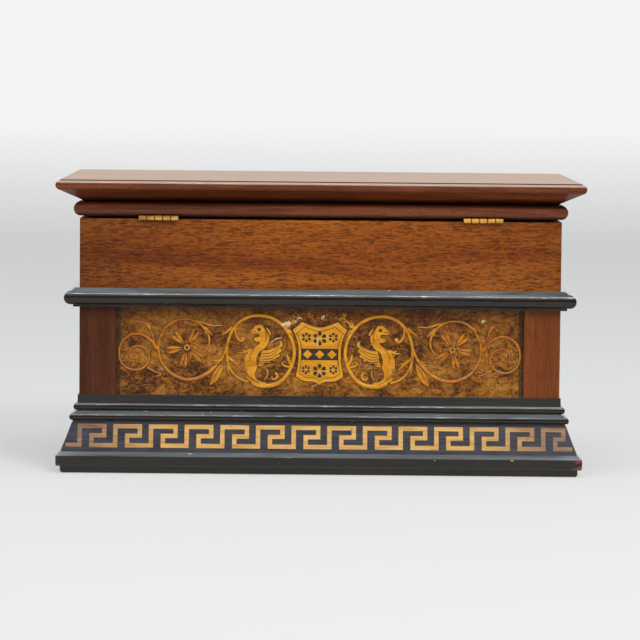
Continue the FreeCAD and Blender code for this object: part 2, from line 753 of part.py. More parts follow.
def bedplate():
    """The flat brass plate that carries the whole movement."""
    bed = board(BED_RIGHT, BED_LEFT, BED_REAR, BED_FRONT, Z_BED, Z_BED_TOP)
    upright = [e for e in bed.Edges if abs(e.tangentAt(e.FirstParameter).z) > 0.5]
    bed = bed.makeFillet(BED_CORNER, upright)
    bed = bed.cut(screw_holes(bedplate_screw_places(), Z_BED_TOP))
    bed = bed.cut(screw_holes(bridge_screw_places(), Z_BED_TOP + BRIDGE_FOOT))
    bed = bed.cut(screw_holes(frame_screw_places(), Z_FRAME_FLOOR))
    return bed.cut(rod_z(STOP_X, STOP_Y, Z_BED, Z_BED_TOP, STOP_STUD_RADIUS + SEAT_FIT))


def bridge(x0, axis, head, foot_half, bore):
    """An upright bearing: a tapered post with a round head on a screwed foot."""
    z_foot = Z_BED_TOP + BRIDGE_FOOT
    start = Vector(x0, axis[0] - foot_half, Z_BED_TOP)
    crown = (Vector(x0, axis[0], axis[1] + head), Vector(x0, axis[0] - head, axis[1]))
    waist = foot_half - 2 * BRIDGE_SCREW_INSET
    steps = [
        Vector(x0, axis[0] + foot_half, Z_BED_TOP),
        Vector(x0, axis[0] + foot_half, z_foot),
        Vector(x0, axis[0] + waist, z_foot),
        Vector(x0, axis[0] + head, axis[1]),
        crown,
        Vector(x0, axis[0] - waist, z_foot),
        Vector(x0, axis[0] - foot_half, z_foot),
    ]
    post = plate(start, steps, Vector(BRIDGE, 0, 0))
    post = post.cut(screw_holes(bridge_screw_places(), z_foot))
    return post.cut(rod_x(x0, x0 + BRIDGE, axis, bore + RUN_FIT))


def outer_bridge():
    """The outer bearing of the barrel, with the hole for the click's stud."""
    post = bridge(
        OUTER_BRIDGE_X, BARREL_AXIS, OUTER_BRIDGE_HEAD, OUTER_BRIDGE_FOOT_HALF, BARREL_ARBOR_RADIUS)
    end = OUTER_BRIDGE_X + BRIDGE
    pivot = polar(end, BARREL_AXIS, CLICK_PIVOT_REACH, CLICK_PIVOT_ANGLE)
    return post.cut(rod_x(end - STUD_DEPTH, end, (pivot.y, pivot.z), STUD_RADIUS + SEAT_FIT))


def comb():
    """The steel comb: its teeth shorten from the bass to the treble end."""
    z0 = Z_COMB - TOOTH_THICKNESS
    first = CYLINDER_RIGHT + COMB_MARGIN
    points = []
    for k in range(COMB_TEETH):
        share = k / (COMB_TEETH - 1)
        root = TIP_Y + TREBLE_TOOTH + (BASS_TOOTH - TREBLE_TOOTH) * share
        x0 = first + k * TOOTH_PITCH + TOOTH_GAP / 2
        x1 = x0 + TOOTH_PITCH - TOOTH_GAP
        points.append(Vector(x0, root, z0))
        points.append(Vector(x0, TIP_Y, z0))
        points.append(Vector(x1, TIP_Y, z0))
        points.append(Vector(x1, root, z0))
    points.append(Vector(CYLINDER_LEFT, points[-1].y, z0))
    points.append(Vector(CYLINDER_LEFT, COMB_BACK, z0))
    points.append(Vector(CYLINDER_RIGHT, COMB_BACK, z0))
    points.append(Vector(CYLINDER_RIGHT, points[0].y, z0))
    teeth = plate(points[0], points[1:], Vector(0, 0, TOOTH_THICKNESS))
    spine = board(CYLINDER_RIGHT, CYLINDER_LEFT, COMB_BASE_FRONT, COMB_BACK, Z_COMB - COMB_SPINE, z0)
    return teeth.fuse(spine).removeSplitter().cut(screw_holes(comb_screw_places(), Z_COMB))


def comb_base():
    """The brass block under the comb's spine."""
    block = board(CYLINDER_RIGHT, CYLINDER_LEFT, COMB_BASE_FRONT, COMB_BACK, Z_BED_TOP, Z_COMB - COMB_SPINE)
    return block.cut(screw_holes(comb_screw_places(), Z_COMB))


def click():
    """The click that holds the ratchet, drawn lifted just clear of the teeth."""
    x0 = RATCHET_X
    pivot = polar(x0, BARREL_AXIS, CLICK_PIVOT_REACH, CLICK_PIVOT_ANGLE)
    tip = polar(x0, BARREL_AXIS, RATCHET_TIP + CLICK_LIFT, CLICK_TIP_ANGLE)
    along = (tip - pivot).normalize()
    inward = Vector(0, -along.z, along.y)
    if inward.dot(Vector(0, BARREL_AXIS[0] - pivot.y, BARREL_AXIS[1] - pivot.z)) < 0:
        inward = -inward
    near = pivot + inward * (CLICK_BOSS / 2)
    far = pivot - inward * CLICK_BOSS
    blunt = tip - inward * (CLICK_BOSS / 2)
    arm = plate(near, [tip, blunt, far], Vector(RATCHET, 0, 0))
    axis = (pivot.y, pivot.z)
    stud = rod_x(OUTER_BRIDGE_X + BRIDGE - STUD_DEPTH, x0, axis, STUD_RADIUS)
    boss = rod_x(x0, x0 + RATCHET, axis, CLICK_BOSS)
    return arm.fuse([boss, stud]).removeSplitter()


def governor_cheek(x0, y1, beyond):
    """One upright plate of the governor: its top follows the round heads over the two axles.

    The outline comes down from the second head through the points in beyond to the foot at y1.
    """
    square = SECOND_ANGLE + math.pi / 2
    first_head = (
        polar(x0, FIRST_AXIS, CHEEK_HEAD, (math.pi + square) / 2),
        polar(x0, FIRST_AXIS, CHEEK_HEAD, square),
    )
    second_head = (
        polar(x0, SECOND_AXIS, CHEEK_HEAD, square * 3 / 4),
        polar(x0, SECOND_AXIS, CHEEK_HEAD, square / 2),
    )
    steps = [
        polar(x0, FIRST_AXIS, CHEEK_HEAD, math.pi),
        first_head,
        polar(x0, SECOND_AXIS, CHEEK_HEAD, square),
        second_head,
    ]
    foot = [Vector(x0, y1, Z_BED_TOP)]
    return plate(Vector(x0, FRAME_START, Z_BED_TOP), steps + beyond + foot, Vector(CHEEK, 0, 0))


def governor_frame():
    """The governor's casting: a floor and two cheeks, of which the outer one rises to the cock."""
    y1 = WORM_Y + FRAME_MARGIN
    shoulder = polar(OUTER_CHEEK_X, SECOND_AXIS, CHEEK_HEAD, (SECOND_ANGLE + math.pi / 2) / 2).z
    post = [
        Vector(OUTER_CHEEK_X, WORM_Y - COCK_HALF, shoulder + CHEEK_SHOULDER),
        Vector(OUTER_CHEEK_X, WORM_Y - COCK_HALF, Z_COCK),
        Vector(OUTER_CHEEK_X, WORM_Y + COCK_HALF, Z_COCK),
        Vector(OUTER_CHEEK_X, WORM_Y + COCK_HALF, shoulder),
    ]
    outer = governor_cheek(OUTER_CHEEK_X, y1, post)
    inner = governor_cheek(INNER_CHEEK_X, y1, [])
    inside = INNER_CHEEK_X + CHEEK
    floor = board(OUTER_CHEEK_X, inside, FRAME_START, y1, Z_BED_TOP, Z_FRAME_FLOOR)
    frame = floor.fuse([inner, outer]).removeSplitter()
    frame = frame.cut(rod_x(INNER_CHEEK_X, inside, FIRST_AXIS, TRAIN_ARBOR_RADIUS + RUN_FIT))
    frame = frame.cut(rod_x(INNER_CHEEK_X, inside, SECOND_AXIS, TRAIN_PIVOT_RADIUS + RUN_FIT))
    for axis in (FIRST_AXIS, SECOND_AXIS):
        frame = frame.cut(rod_x(OUTER_CHEEK_X, OUTER_CHEEK_X + CHEEK, axis, TRAIN_PIVOT_RADIUS + RUN_FIT))
    frame = frame.cut(rod_z(WORM_X, WORM_Y, Z_BED_TOP, Z_FRAME_FLOOR, WORM_PIVOT_RADIUS + RUN_FIT))
    return frame.cut(screw_holes(frame_screw_places(), Z_FRAME_FLOOR))


def governor_cock():
    """The arm on the outer cheek that holds the upper pivot of the endless screw."""
    z1 = Z_COCK + COCK
    arm = board(OUTER_CHEEK_X, WORM_X, WORM_Y - COCK_HALF, WORM_Y + COCK_HALF, Z_COCK, z1)
    arm = arm.fuse(rod_z(WORM_X, WORM_Y, Z_COCK, z1, COCK_HALF)).removeSplitter()
    return arm.cut(rod_z(WORM_X, WORM_Y, Z_COCK, z1, WORM_PIVOT_RADIUS + RUN_FIT))


def stop_lever_stud():
    """The pillar on which the stop lever swings, with a shoulder under the lever."""
    stud = rod_z(STOP_X, STOP_Y, Z_BED, Z_STOP, STOP_STUD_RADIUS)
    neck = rod_z(STOP_X, STOP_Y, Z_STOP, Z_STOP + STOP_LEVER + SIDE_GAP, STOP_STUD_RADIUS - SIDE_GAP)
    return stud.fuse(neck).removeSplitter()


# Movement: what turns

def cylinder_tube():
    """The pinned barrel's bare tube."""
    tube = rod_x(CYLINDER_RIGHT, CYLINDER_LEFT, CYLINDER_AXIS, CYLINDER_RADIUS)
    return tube.cut(rod_x(CYLINDER_RIGHT, CYLINDER_LEFT, CYLINDER_AXIS, CYLINDER_RADIUS - CYLINDER_WALL))


def cylinder_pins():
    """The tune's pins, scattered round the tube in one row for each tooth of the comb."""
    golden = (math.sqrt(5) - 1) / 2
    pins = []
    for k in range(COMB_TEETH * PINS_PER_TOOTH):
        x = CYLINDER_RIGHT + COMB_MARGIN + (k // PINS_PER_TOOTH + 0.5) * TOOTH_PITCH
        angle = 2 * math.pi * (k * golden % 1)
        foot = polar(x, CYLINDER_AXIS, CYLINDER_RADIUS - PIN_ROOT, angle)
        out = Vector(0, math.cos(angle), math.sin(angle))
        across = Vector(0, -math.sin(angle), math.cos(angle))
        rim = []
        for side in range(PIN_SIDES):
            turn = 2 * math.pi * side / PIN_SIDES
            along = X_AXIS * (PIN_RADIUS * math.cos(turn))
            rim.append(foot + along + across * (PIN_RADIUS * math.sin(turn)))
        pins.append(plate(rim[0], rim[1:], out * (PIN_ROOT + PIN_OUT)))
    return pins


def cylinder_end_caps():
    """The two discs that carry the tube on its arbor."""
    caps = []
    for x0 in (CYLINDER_RIGHT, CYLINDER_LEFT - END_CAP):
        cap = rod_x(x0, x0 + END_CAP, CYLINDER_AXIS, CYLINDER_RADIUS - CYLINDER_WALL - SEAT_FIT)
        caps.append(cap.cut(rod_x(x0, x0 + END_CAP, CYLINDER_AXIS, CYLINDER_ARBOR_RADIUS + SEAT_FIT)))
    return caps


def cylinder_arbor():
    """The cylinder's axle, stepped down to a pivot at each end."""
    right = RIGHT_BRIDGE_X + BRIDGE + BRIDGE_GAP / 2
    left = LEFT_BRIDGE_X - BRIDGE_GAP / 2
    axle = rod_x(right, left, CYLINDER_AXIS, CYLINDER_ARBOR_RADIUS)
    pivots = rod_x(RIGHT_BRIDGE_X, LEFT_BRIDGE_X + BRIDGE, CYLINDER_AXIS, CYLINDER_PIVOT_RADIUS)
    return axle.fuse(pivots).removeSplitter()


PINION_PHASE = meshing_phase(BARREL_TEETH, 0.0, PINION_TEETH, 0.0)
GREAT_PHASE = 0.0
FIRST_PINION_PHASE = meshing_phase(GREAT_TEETH, GREAT_PHASE, FIRST_PINION_TEETH, FIRST_ANGLE)
FIRST_PHASE = 0.0
SECOND_PINION_PHASE = meshing_phase(FIRST_TEETH, FIRST_PHASE, SECOND_PINION_TEETH, SECOND_ANGLE)


def cylinder_pinion():
    """The pinion through which the barrel drives the cylinder."""
    x1 = PINION_X + PINION_LENGTH
    pinion = gear_x(PINION_TEETH, BARREL_MODULE, PINION_X, x1, CYLINDER_AXIS, PINION_PHASE)
    return pinion.cut(rod_x(PINION_X, x1, CYLINDER_AXIS, CYLINDER_ARBOR_RADIUS + SEAT_FIT))


def great_wheel():
    """The spoked wheel through which the cylinder drives the governor."""
    x1 = GREAT_X + GREAT_WHEEL
    wheel = gear_x(GREAT_TEETH, GREAT_MODULE, GREAT_X, x1, CYLINDER_AXIS, GREAT_PHASE)
    rim = GREAT_MODULE * (GREAT_TEETH / 2 - TOOTH_ROOT) - GREAT_RIM
    wheel = wheel.cut(spoke_windows(GREAT_X, x1, CYLINDER_AXIS, GREAT_HUB, rim, SPOKE_WIDTH))
    return wheel.cut(rod_x(GREAT_X, x1, CYLINDER_AXIS, CYLINDER_ARBOR_RADIUS + SEAT_FIT))


def spring_barrel():
    """The open drum for the mainspring, cut with teeth round its closed end."""
    wheel = gear_x(BARREL_TEETH, BARREL_MODULE, BARREL_X, DRUM_X, BARREL_AXIS, 0.0)
    drum = rod_x(DRUM_X, BARREL_END_X, BARREL_AXIS, BARREL_RADIUS)
    drum = drum.cut(rod_x(DRUM_X, BARREL_END_X, BARREL_AXIS, BARREL_RADIUS - BARREL_WALL))
    bore = rod_x(BARREL_X, DRUM_X, BARREL_AXIS, BARREL_ARBOR_RADIUS + RUN_FIT)
    return wheel.fuse(drum).removeSplitter().cut(bore)


def barrel_cap():
    """The lid of the drum."""
    x0 = BARREL_END_X - BARREL_CAP
    cap = rod_x(x0, BARREL_END_X, BARREL_AXIS, BARREL_RADIUS - BARREL_WALL - SEAT_FIT)
    return cap.cut(rod_x(x0, BARREL_END_X, BARREL_AXIS, BARREL_ARBOR_RADIUS + RUN_FIT))


def mainspring():
    """A flat spiral of half turns, hooked to the wall of the drum."""
    x0 = DRUM_X + SPRING_ROOM
    width = BARREL_END_X - BARREL_CAP - SPRING_ROOM - x0
    outside = BARREL_RADIUS - BARREL_WALL - SPRING_ROOM - SPRING_STRIP
    grow = (outside - SPRING_CORE) / (2 * SPRING_TURNS)
    forward = []
    backward = []
    radius = SPRING_CORE
    mid_y = 0.0
    side = 1
    for half in range(2 * SPRING_TURNS):
        centre = (BARREL_AXIS[0] + mid_y, BARREL_AXIS[1])
        start, middle, end = 0.0, math.pi / 2, math.pi
        if side < 0:
            start, middle, end = math.pi, 1.5 * math.pi, 2 * math.pi
        inner = [polar(x0, centre, radius, a) for a in (start, middle, end)]
        outer = [polar(x0, centre, radius + SPRING_STRIP, a) for a in (start, middle, end)]
        forward.append(Part.Arc(*inner).toShape())
        backward.append(Part.Arc(*outer).toShape())
        if half == 0:
            hook = Part.makeLine(outer[0], inner[0])
        tail = Part.makeLine(inner[2], outer[2])
        mid_y += side * grow
        radius += grow
        side = -side
    edges = [hook] + forward + [tail] + backward
    return Part.Face(Part.Wire(Part.__sortEdges__(edges))).extrude(Vector(width, 0, 0))


def barrel_arbor():
    """The winding axle, on which the barrel turns while the ratchet holds it."""
    shoulder = INNER_BRIDGE_X + BRIDGE + BRIDGE_GAP / 2
    axle = rod_x(shoulder, ARBOR_END_X, BARREL_AXIS, BARREL_ARBOR_RADIUS)
    return axle.fuse(rod_x(INNER_BRIDGE_X, shoulder, BARREL_AXIS, BARREL_PIVOT_RADIUS)).removeSplitter()


def ratchet_wheel():
    """The saw-toothed wheel on the winding axle; its faces look the way that the spring pulls."""
    step = 2 * math.pi / RATCHET_TEETH
    points = []
    for k in range(RATCHET_TEETH):
        face = PAWL_FACE_ANGLE + LEVER_REST + k * step
        points.append(polar(RATCHET_X, BARREL_AXIS, RATCHET_TIP, face))
        points.append(polar(RATCHET_X, BARREL_AXIS, RATCHET_ROOT, face))
    wheel = plate(points[0], points[1:], Vector(RATCHET, 0, 0))
    return wheel.cut(rod_x(RATCHET_X, RATCHET_X + RATCHET, BARREL_AXIS, BARREL_ARBOR_RADIUS + SEAT_FIT))


def at_lever_rest(shape):
    """Lean a piece of the upright lever back to its resting place."""
    shape.rotate(Vector(0, *BARREL_AXIS), X_AXIS, math.degrees(LEVER_REST))
    return shape


def winding_lever():
    """The tapered winding lever on its hub, bored for the pawl's stud and the knob's tang."""
    y, z = BARREL_AXIS
    x1 = LEVER_X + LEVER
    start = Vector(LEVER_X, y - LEVER_FOOT_HALF, z)
    steps = [
        Vector(LEVER_X, y + LEVER_FOOT_HALF, z),
        Vector(LEVER_X, y + LEVER_HEAD_HALF, z + LEVER_REACH),
        Vector(LEVER_X, y - LEVER_HEAD_HALF, z + LEVER_REACH),
    ]
    arm = plate(start, steps, Vector(LEVER, 0, 0))
    hub = rod_x(LEVER_X, x1, BARREL_AXIS, LEVER_HUB)
    head = rod_x(LEVER_X, x1, (y, z + LEVER_REACH), LEVER_HEAD_ROUND)
    lever = arm.fuse([hub, head]).removeSplitter()
    lever = lever.cut(rod_x(LEVER_X, x1, BARREL_AXIS, BARREL_ARBOR_RADIUS + RUN_FIT))
    stud_axis = (y, z + PAWL_PIVOT_REACH)
    lever = lever.cut(rod_x(LEVER_X, LEVER_X + STUD_DEPTH, stud_axis, STUD_RADIUS + SEAT_FIT))
    seat = z + LEVER_REACH + LEVER_HEAD_ROUND
    tang = rod_z(LEVER_X + LEVER / 2, y, seat - KNOB_TANG, seat, STUD_RADIUS + SEAT_FIT)
    return at_lever_rest(lever.cut(tang))


def lever_knob():
    """The turned grip on the end of the lever."""
    x = LEVER_X + LEVER / 2
    y = BARREL_AXIS[0]
    foot = BARREL_AXIS[1] + LEVER_REACH + LEVER_HEAD_ROUND
    head = foot + KNOB_LENGTH
    belly = head - KNOB_RADIUS
    slope = KNOB_RADIUS * math.sqrt(0.5)
    steps = [
        Vector(x + STUD_RADIUS, y, foot - KNOB_TANG),
        Vector(x + STUD_RADIUS, y, foot),
        Vector(x + KNOB_NECK, y, foot),
        Vector(x + KNOB_NECK, y, foot + KNOB_NECK),
        Vector(x + KNOB_RADIUS, y, belly),
        (Vector(x + slope, y, belly + slope), Vector(x, y, head)),
    ]
    section = Part.Face(wire_through(Vector(x, y, foot - KNOB_TANG), steps))
    return at_lever_rest(section.revolve(Vector(x, y, foot), Z_UP, 360))


def lever_pawl():
    """The pawl that the lever pushes the ratchet with, seated against one tooth."""
    x0 = RATCHET_X
    step = 2 * math.pi / RATCHET_TEETH
    face = PAWL_FACE_ANGLE + PAWL_PLAY / RATCHET_TIP
    stud_axis = (BARREL_AXIS[0], BARREL_AXIS[1] + PAWL_PIVOT_REACH)
    mid = (RATCHET_TIP + RATCHET_ROOT) / 2
    steps = [
        polar(x0, BARREL_AXIS, RATCHET_TIP + PAWL_HEEL, face + step),
        Vector(x0, stud_axis[0], stud_axis[1] - PAWL_BACK),
        Vector(x0, stud_axis[0], stud_axis[1] + PAWL_BACK),
        polar(x0, BARREL_AXIS, RATCHET_TIP + PAWL_BACK / 2, face),
    ]
    arm = plate(polar(x0, BARREL_AXIS, mid, face), steps, Vector(RATCHET, 0, 0))
    boss = rod_x(x0, x0 + RATCHET, stud_axis, PAWL_BACK)
    stud = rod_x(x0 + RATCHET, LEVER_X + STUD_DEPTH, stud_axis, STUD_RADIUS)
    return at_lever_rest(arm.fuse([boss, stud]).removeSplitter())


def first_arbor():
    """The governor's first axle, with its pinion on the free end beside the great wheel."""
    mid = GREAT_X + GREAT_WHEEL / 2
    x0 = mid - FIRST_PINION_LENGTH / 2
    x1 = mid + FIRST_PINION_LENGTH / 2
    pinion = gear_x(FIRST_PINION_TEETH, GREAT_MODULE, x0, x1, FIRST_AXIS, FIRST_PINION_PHASE)
    shoulder = OUTER_CHEEK_X + CHEEK + SIDE_GAP
    axle = rod_x(shoulder, x1, FIRST_AXIS, TRAIN_ARBOR_RADIUS)
    pivot = rod_x(OUTER_CHEEK_X, shoulder, FIRST_AXIS, TRAIN_PIVOT_RADIUS)
    return pinion.fuse([axle, pivot]).removeSplitter()


def first_wheel():
    """The governor's first wheel."""
    x1 = FIRST_WHEEL_X + FIRST_WHEEL
    wheel = gear_x(FIRST_TEETH, FIRST_MODULE, FIRST_WHEEL_X, x1, FIRST_AXIS, FIRST_PHASE)
    rim = FIRST_MODULE * (FIRST_TEETH / 2 - TOOTH_ROOT) - FIRST_RIM
    wheel = wheel.cut(spoke_windows(FIRST_WHEEL_X, x1, FIRST_AXIS, FIRST_HUB, rim, FIRST_SPOKE_WIDTH))
    return wheel.cut(rod_x(FIRST_WHEEL_X, x1, FIRST_AXIS, TRAIN_ARBOR_RADIUS + SEAT_FIT))


def second_arbor():
    """The governor's second axle, with its pinion between the cheeks."""
    mid = FIRST_WHEEL_X + FIRST_WHEEL / 2
    x0 = mid - SECOND_PINION_LENGTH / 2
    x1 = mid + SECOND_PINION_LENGTH / 2
    pinion = gear_x(SECOND_PINION_TEETH, FIRST_MODULE, x0, x1, SECOND_AXIS, SECOND_PINION_PHASE)
    inner = INNER_CHEEK_X - SIDE_GAP / 2
    outer = OUTER_CHEEK_X + CHEEK + SIDE_GAP
    axle = rod_x(outer, inner, SECOND_AXIS, TRAIN_ARBOR_RADIUS)
    pivots = rod_x(OUTER_CHEEK_X, INNER_CHEEK_X + CHEEK, SECOND_AXIS, TRAIN_PIVOT_RADIUS)
    return pinion.fuse([axle, pivots]).removeSplitter()


def worm_wheel():
    """The thin wheel that turns the endless screw."""
    x1 = WORM_WHEEL_X + WORM_WHEEL
    wheel = gear_x(WORM_TEETH, WORM_MODULE, WORM_WHEEL_X, x1, SECOND_AXIS, 0.0, WORM_WHEEL_SLACK)
    return wheel.cut(rod_x(WORM_WHEEL_X, x1, SECOND_AXIS, TRAIN_ARBOR_RADIUS + SEAT_FIT))


def endless_screw():
    """The upright worm: right-hand threads on a stem, with a pivot at each end."""
    lead = WORM_PITCH * WORM_STARTS
    stem = rod_z(WORM_X, WORM_Y, Z_FRAME_FLOOR + SIDE_GAP / 2, Z_COCK - SIDE_GAP / 2, WORM_CORE)
    pivots = rod_z(WORM_X, WORM_Y, Z_BED_TOP, Z_COCK + COCK, WORM_PIVOT_RADIUS)
    worm = stem.fuse(pivots)
    # A tooth of the worm wheel points at the worm at rest, so a thread passes half a pitch above it.
    # The wheel is on the -Y side, three quarters of a turn from where a thread starts.
    start = Z_WORM + (SECOND_AXIS[1] + WORM_PITCH / 2 - lead * 3 / 4 - Z_WORM) % WORM_PITCH
    under = WORM_CORE - SEAT_FIT
    for k in range(WORM_STARTS):
        path = Part.makeHelix(lead, WORM_LENGTH - lead / 2, WORM_PITCH_RADIUS)
        section = Part.Wire(Part.makePolygon([
            Vector(under, 0, -WORM_ROOT_HALF),
            Vector(WORM_CREST, 0, -WORM_CREST_HALF),
            Vector(WORM_CREST, 0, WORM_CREST_HALF),
            Vector(under, 0, WORM_ROOT_HALF),
            Vector(under, 0, -WORM_ROOT_HALF),
        ]).Edges)
        thread = Part.Wire(path).makePipeShell([section], True, True)
        thread.rotate(Vector(0, 0, 0), Z_UP, 360 * k / WORM_STARTS)
        thread.translate(Vector(WORM_X, WORM_Y, start))
        worm = worm.fuse(thread)
    return worm.removeSplitter()


def fly_fan():
    """The two-winged air brake on the endless screw."""
    hub = rod_z(WORM_X, WORM_Y, Z_FLY, Z_FLY + FLY_HEIGHT, FLY_HUB)
    half = FLY_BLADE / 2
    z1 = Z_FLY + FLY_HEIGHT
    wings = board(WORM_X - FLY_RADIUS, WORM_X + FLY_RADIUS, WORM_Y - half, WORM_Y + half, Z_FLY, z1)
    corners = [e for e in wings.Edges if abs(e.tangentAt(e.FirstParameter).y) > 0.5]
    fan = hub.fuse(wings.makeFillet(FLY_CORNER, corners)).removeSplitter()
    return fan.cut(rod_z(WORM_X, WORM_Y, Z_FLY, z1, WORM_CORE + SEAT_FIT))


def stop_lever():
    """The lever that lets the fly run, or swings its finger up to the wings; drawn at play."""
    to_fly = Vector(WORM_X - STOP_X, WORM_Y - STOP_Y, 0)
    reach = to_fly.Length - math.hypot(FLY_RADIUS, FLY_BLADE / 2) - STOP_MISS
    hub = rod_z(0, 0, Z_STOP, Z_STOP + STOP_LEVER, STOP_HUB)
    blunt = reach - STOP_TIP_HALF
    tip = (Vector(reach, 0, Z_STOP), Vector(blunt, STOP_TIP_HALF, Z_STOP))
    outline = [Vector(blunt, -STOP_TIP_HALF, Z_STOP), tip, Vector(0, STOP_ARM_HALF, Z_STOP)]
    finger = plate(Vector(0, -STOP_ARM_HALF, Z_STOP), outline, Vector(0, 0, STOP_LEVER))
    finger.rotate(Vector(0, 0, 0), Z_UP, math.degrees(math.atan2(to_fly.y, to_fly.x)))
    handle = board(-STOP_HANDLE, 0, -STOP_ARM_HALF, STOP_ARM_HALF, Z_STOP, Z_STOP + STOP_LEVER)
    grip = rod_z(-STOP_HANDLE, 0, Z_STOP, Z_STOP + STOP_HANDLE_RISE, STOP_HANDLE_KNOB)
    lever = hub.fuse([finger, handle, grip]).removeSplitter()
    lever = lever.cut(rod_z(0, 0, Z_STOP, Z_STOP + STOP_LEVER, STOP_STUD_RADIUS - SIDE_GAP + RUN_FIT))
    lever.rotate(Vector(0, 0, 0), Z_UP, math.degrees(STOP_TRAVEL))
    lever.translate(Vector(STOP_X, STOP_Y, 0))
    return lever


# Every node by name

rear_wall, front_wall, left_wall, right_wall = case_walls()
rear_panel, front_panel, left_panel, right_panel = inlaid_panels()
NODES = {
    "bottom_board": bottom_board(),
    "soundboard": soundboard(),
    "soundboard_bearers": soundboard_bearers(),
    "rear_wall": rear_wall,
    "front_wall": front_wall,
    "left_wall": left_wall,
    "right_wall": right_wall,
    "rear_panel": rear_panel,
    "front_panel": front_panel,
    "left_panel": left_panel,
    "right_panel": right_panel,
    "corner_posts": corner_posts(),
    "plinth_moulding": plinth_moulding(),
    "key_band": key_band(),
    "stepped_moulding": stepped_moulding(),
    "waist_moulding": waist_moulding(),
    "frieze_boards": frieze_boards(),
    "dust_lip": dust_lip(),
    "hinge_case_leaves": hinge_leaves(False),
    "hinge_pins": hinge_pins(),
    "lid_top": lid_top(),
    "lid_cove": lid_cove(),
    "lid_bead": lid_bead(),
    "hinge_lid_leaves": hinge_leaves(True),
    "bedplate": bedplate(),
    "bedplate_screws": [screw(x, y, Z_BED_TOP) for x, y in bedplate_screw_places()],
    "comb": comb(),
    "comb_base": comb_base(),
    "comb_screws": [screw(x, y, Z_COMB) for x, y in comb_screw_places()],
    "cylinder_bridge_left": bridge(
        LEFT_BRIDGE_X, CYLINDER_AXIS, BRIDGE_HEAD, BRIDGE_FOOT_HALF, CYLINDER_PIVOT_RADIUS),
    "cylinder_bridge_right": bridge(
        RIGHT_BRIDGE_X, CYLINDER_AXIS, BRIDGE_HEAD, BRIDGE_FOOT_HALF, CYLINDER_PIVOT_RADIUS),
    "barrel_bridge_inner": bridge(
        INNER_BRIDGE_X, BARREL_AXIS, BRIDGE_HEAD, BRIDGE_FOOT_HALF, BARREL_PIVOT_RADIUS),
    "barrel_bridge_outer": outer_bridge(),
    "bridge_screws": [screw(x, y, Z_BED_TOP + BRIDGE_FOOT) for x, y in bridge_screw_places()]
    + [screw(x, y, Z_FRAME_FLOOR) for x, y in frame_screw_places()],
    "click": click(),
    "governor_frame": governor_frame(),
    "governor_cock": governor_cock(),
    "stop_lever_stud": stop_lever_stud(),
    "cylinder_tube": cylinder_tube(),
    "cylinder_pins": cylinder_pins(),
    "cylinder_end_caps": cylinder_end_caps(),
    "cylinder_arbor": cylinder_arbor(),
    "cylinder_pinion": cylinder_pinion(),
    "great_wheel": great_wheel(),
    "spring_barrel": spring_barrel(),
    "barrel_cap": barrel_cap(),
    "mainspring": mainspring(),
    "barrel_arbor": barrel_arbor(),
    "ratchet_wheel": ratchet_wheel(),
    "winding_lever": winding_lever(),
    "lever_knob": lever_knob(),
    "lever_pawl": lever_pawl(),
    "first_arbor": first_arbor(),
    "first_wheel": first_wheel(),
    "second_arbor": second_arbor(),
    "worm_wheel": worm_wheel(),
    "endless_screw": endless_screw(),
    "fly_fan": fly_fan(),
    "stop_lever": stop_lever(),
}

for name, shape in NODES.items():
    if isinstance(shape, list):
        shape = Part.makeCompound(shape)
    shape.exportStep("parts/" + name + ".step")
    print(name, len(shape.Solids), "solid(s)", round(shape.Volume, 1), "mm3", shape.isValid())

print("cylinder axis at y %.4f z %.4f" % CYLINDER_AXIS)
print("barrel axis at y %.4f z %.4f" % BARREL_AXIS)
print("first axis at y %.4f z %.4f" % FIRST_AXIS)
print("second axis at y %.4f z %.4f" % SECOND_AXIS)
print("worm at x %.4f y %.4f" % (WORM_X, WORM_Y))
print("stop stud at x %.4f y %.4f" % (STOP_X, STOP_Y))
print("lever leans back by %.3f degrees" % math.degrees(LEVER_REST))
print("hinge at y %.4f z %.4f" % (HINGE_Y, HINGE_Z))
print("levels: bed top %.3f, rim %.3f, lid %.3f, top %.3f" % (Z_BED_TOP, Z_RIM, Z_LID, Z_TOP))
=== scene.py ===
import math
import random

import bpy
from mathutils import Matrix, Vector


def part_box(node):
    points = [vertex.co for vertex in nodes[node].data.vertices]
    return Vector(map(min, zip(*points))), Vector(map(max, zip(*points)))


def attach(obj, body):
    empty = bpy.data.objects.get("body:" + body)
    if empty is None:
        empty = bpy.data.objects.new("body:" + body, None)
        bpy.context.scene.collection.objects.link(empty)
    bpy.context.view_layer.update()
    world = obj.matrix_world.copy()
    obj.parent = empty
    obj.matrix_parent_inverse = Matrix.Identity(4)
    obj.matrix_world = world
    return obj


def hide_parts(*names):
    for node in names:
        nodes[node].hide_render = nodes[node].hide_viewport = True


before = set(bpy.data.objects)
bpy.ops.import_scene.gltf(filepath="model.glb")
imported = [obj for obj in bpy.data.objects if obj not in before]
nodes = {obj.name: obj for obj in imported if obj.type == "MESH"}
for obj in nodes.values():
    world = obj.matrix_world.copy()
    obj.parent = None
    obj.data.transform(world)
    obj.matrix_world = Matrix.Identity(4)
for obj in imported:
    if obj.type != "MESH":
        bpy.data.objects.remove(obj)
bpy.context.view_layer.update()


# Camera: it looks at the hinged side from two metres off, a little above the lid, through a long
# lens, and leans by about half a degree, as the photograph does.
camera_place = Vector((-0.0115, -2.133, 0.259))
camera_down = math.radians(4.54)
camera_aside = math.radians(0.32)
camera_lean = math.radians(0.56)
camera_lens = 185.6

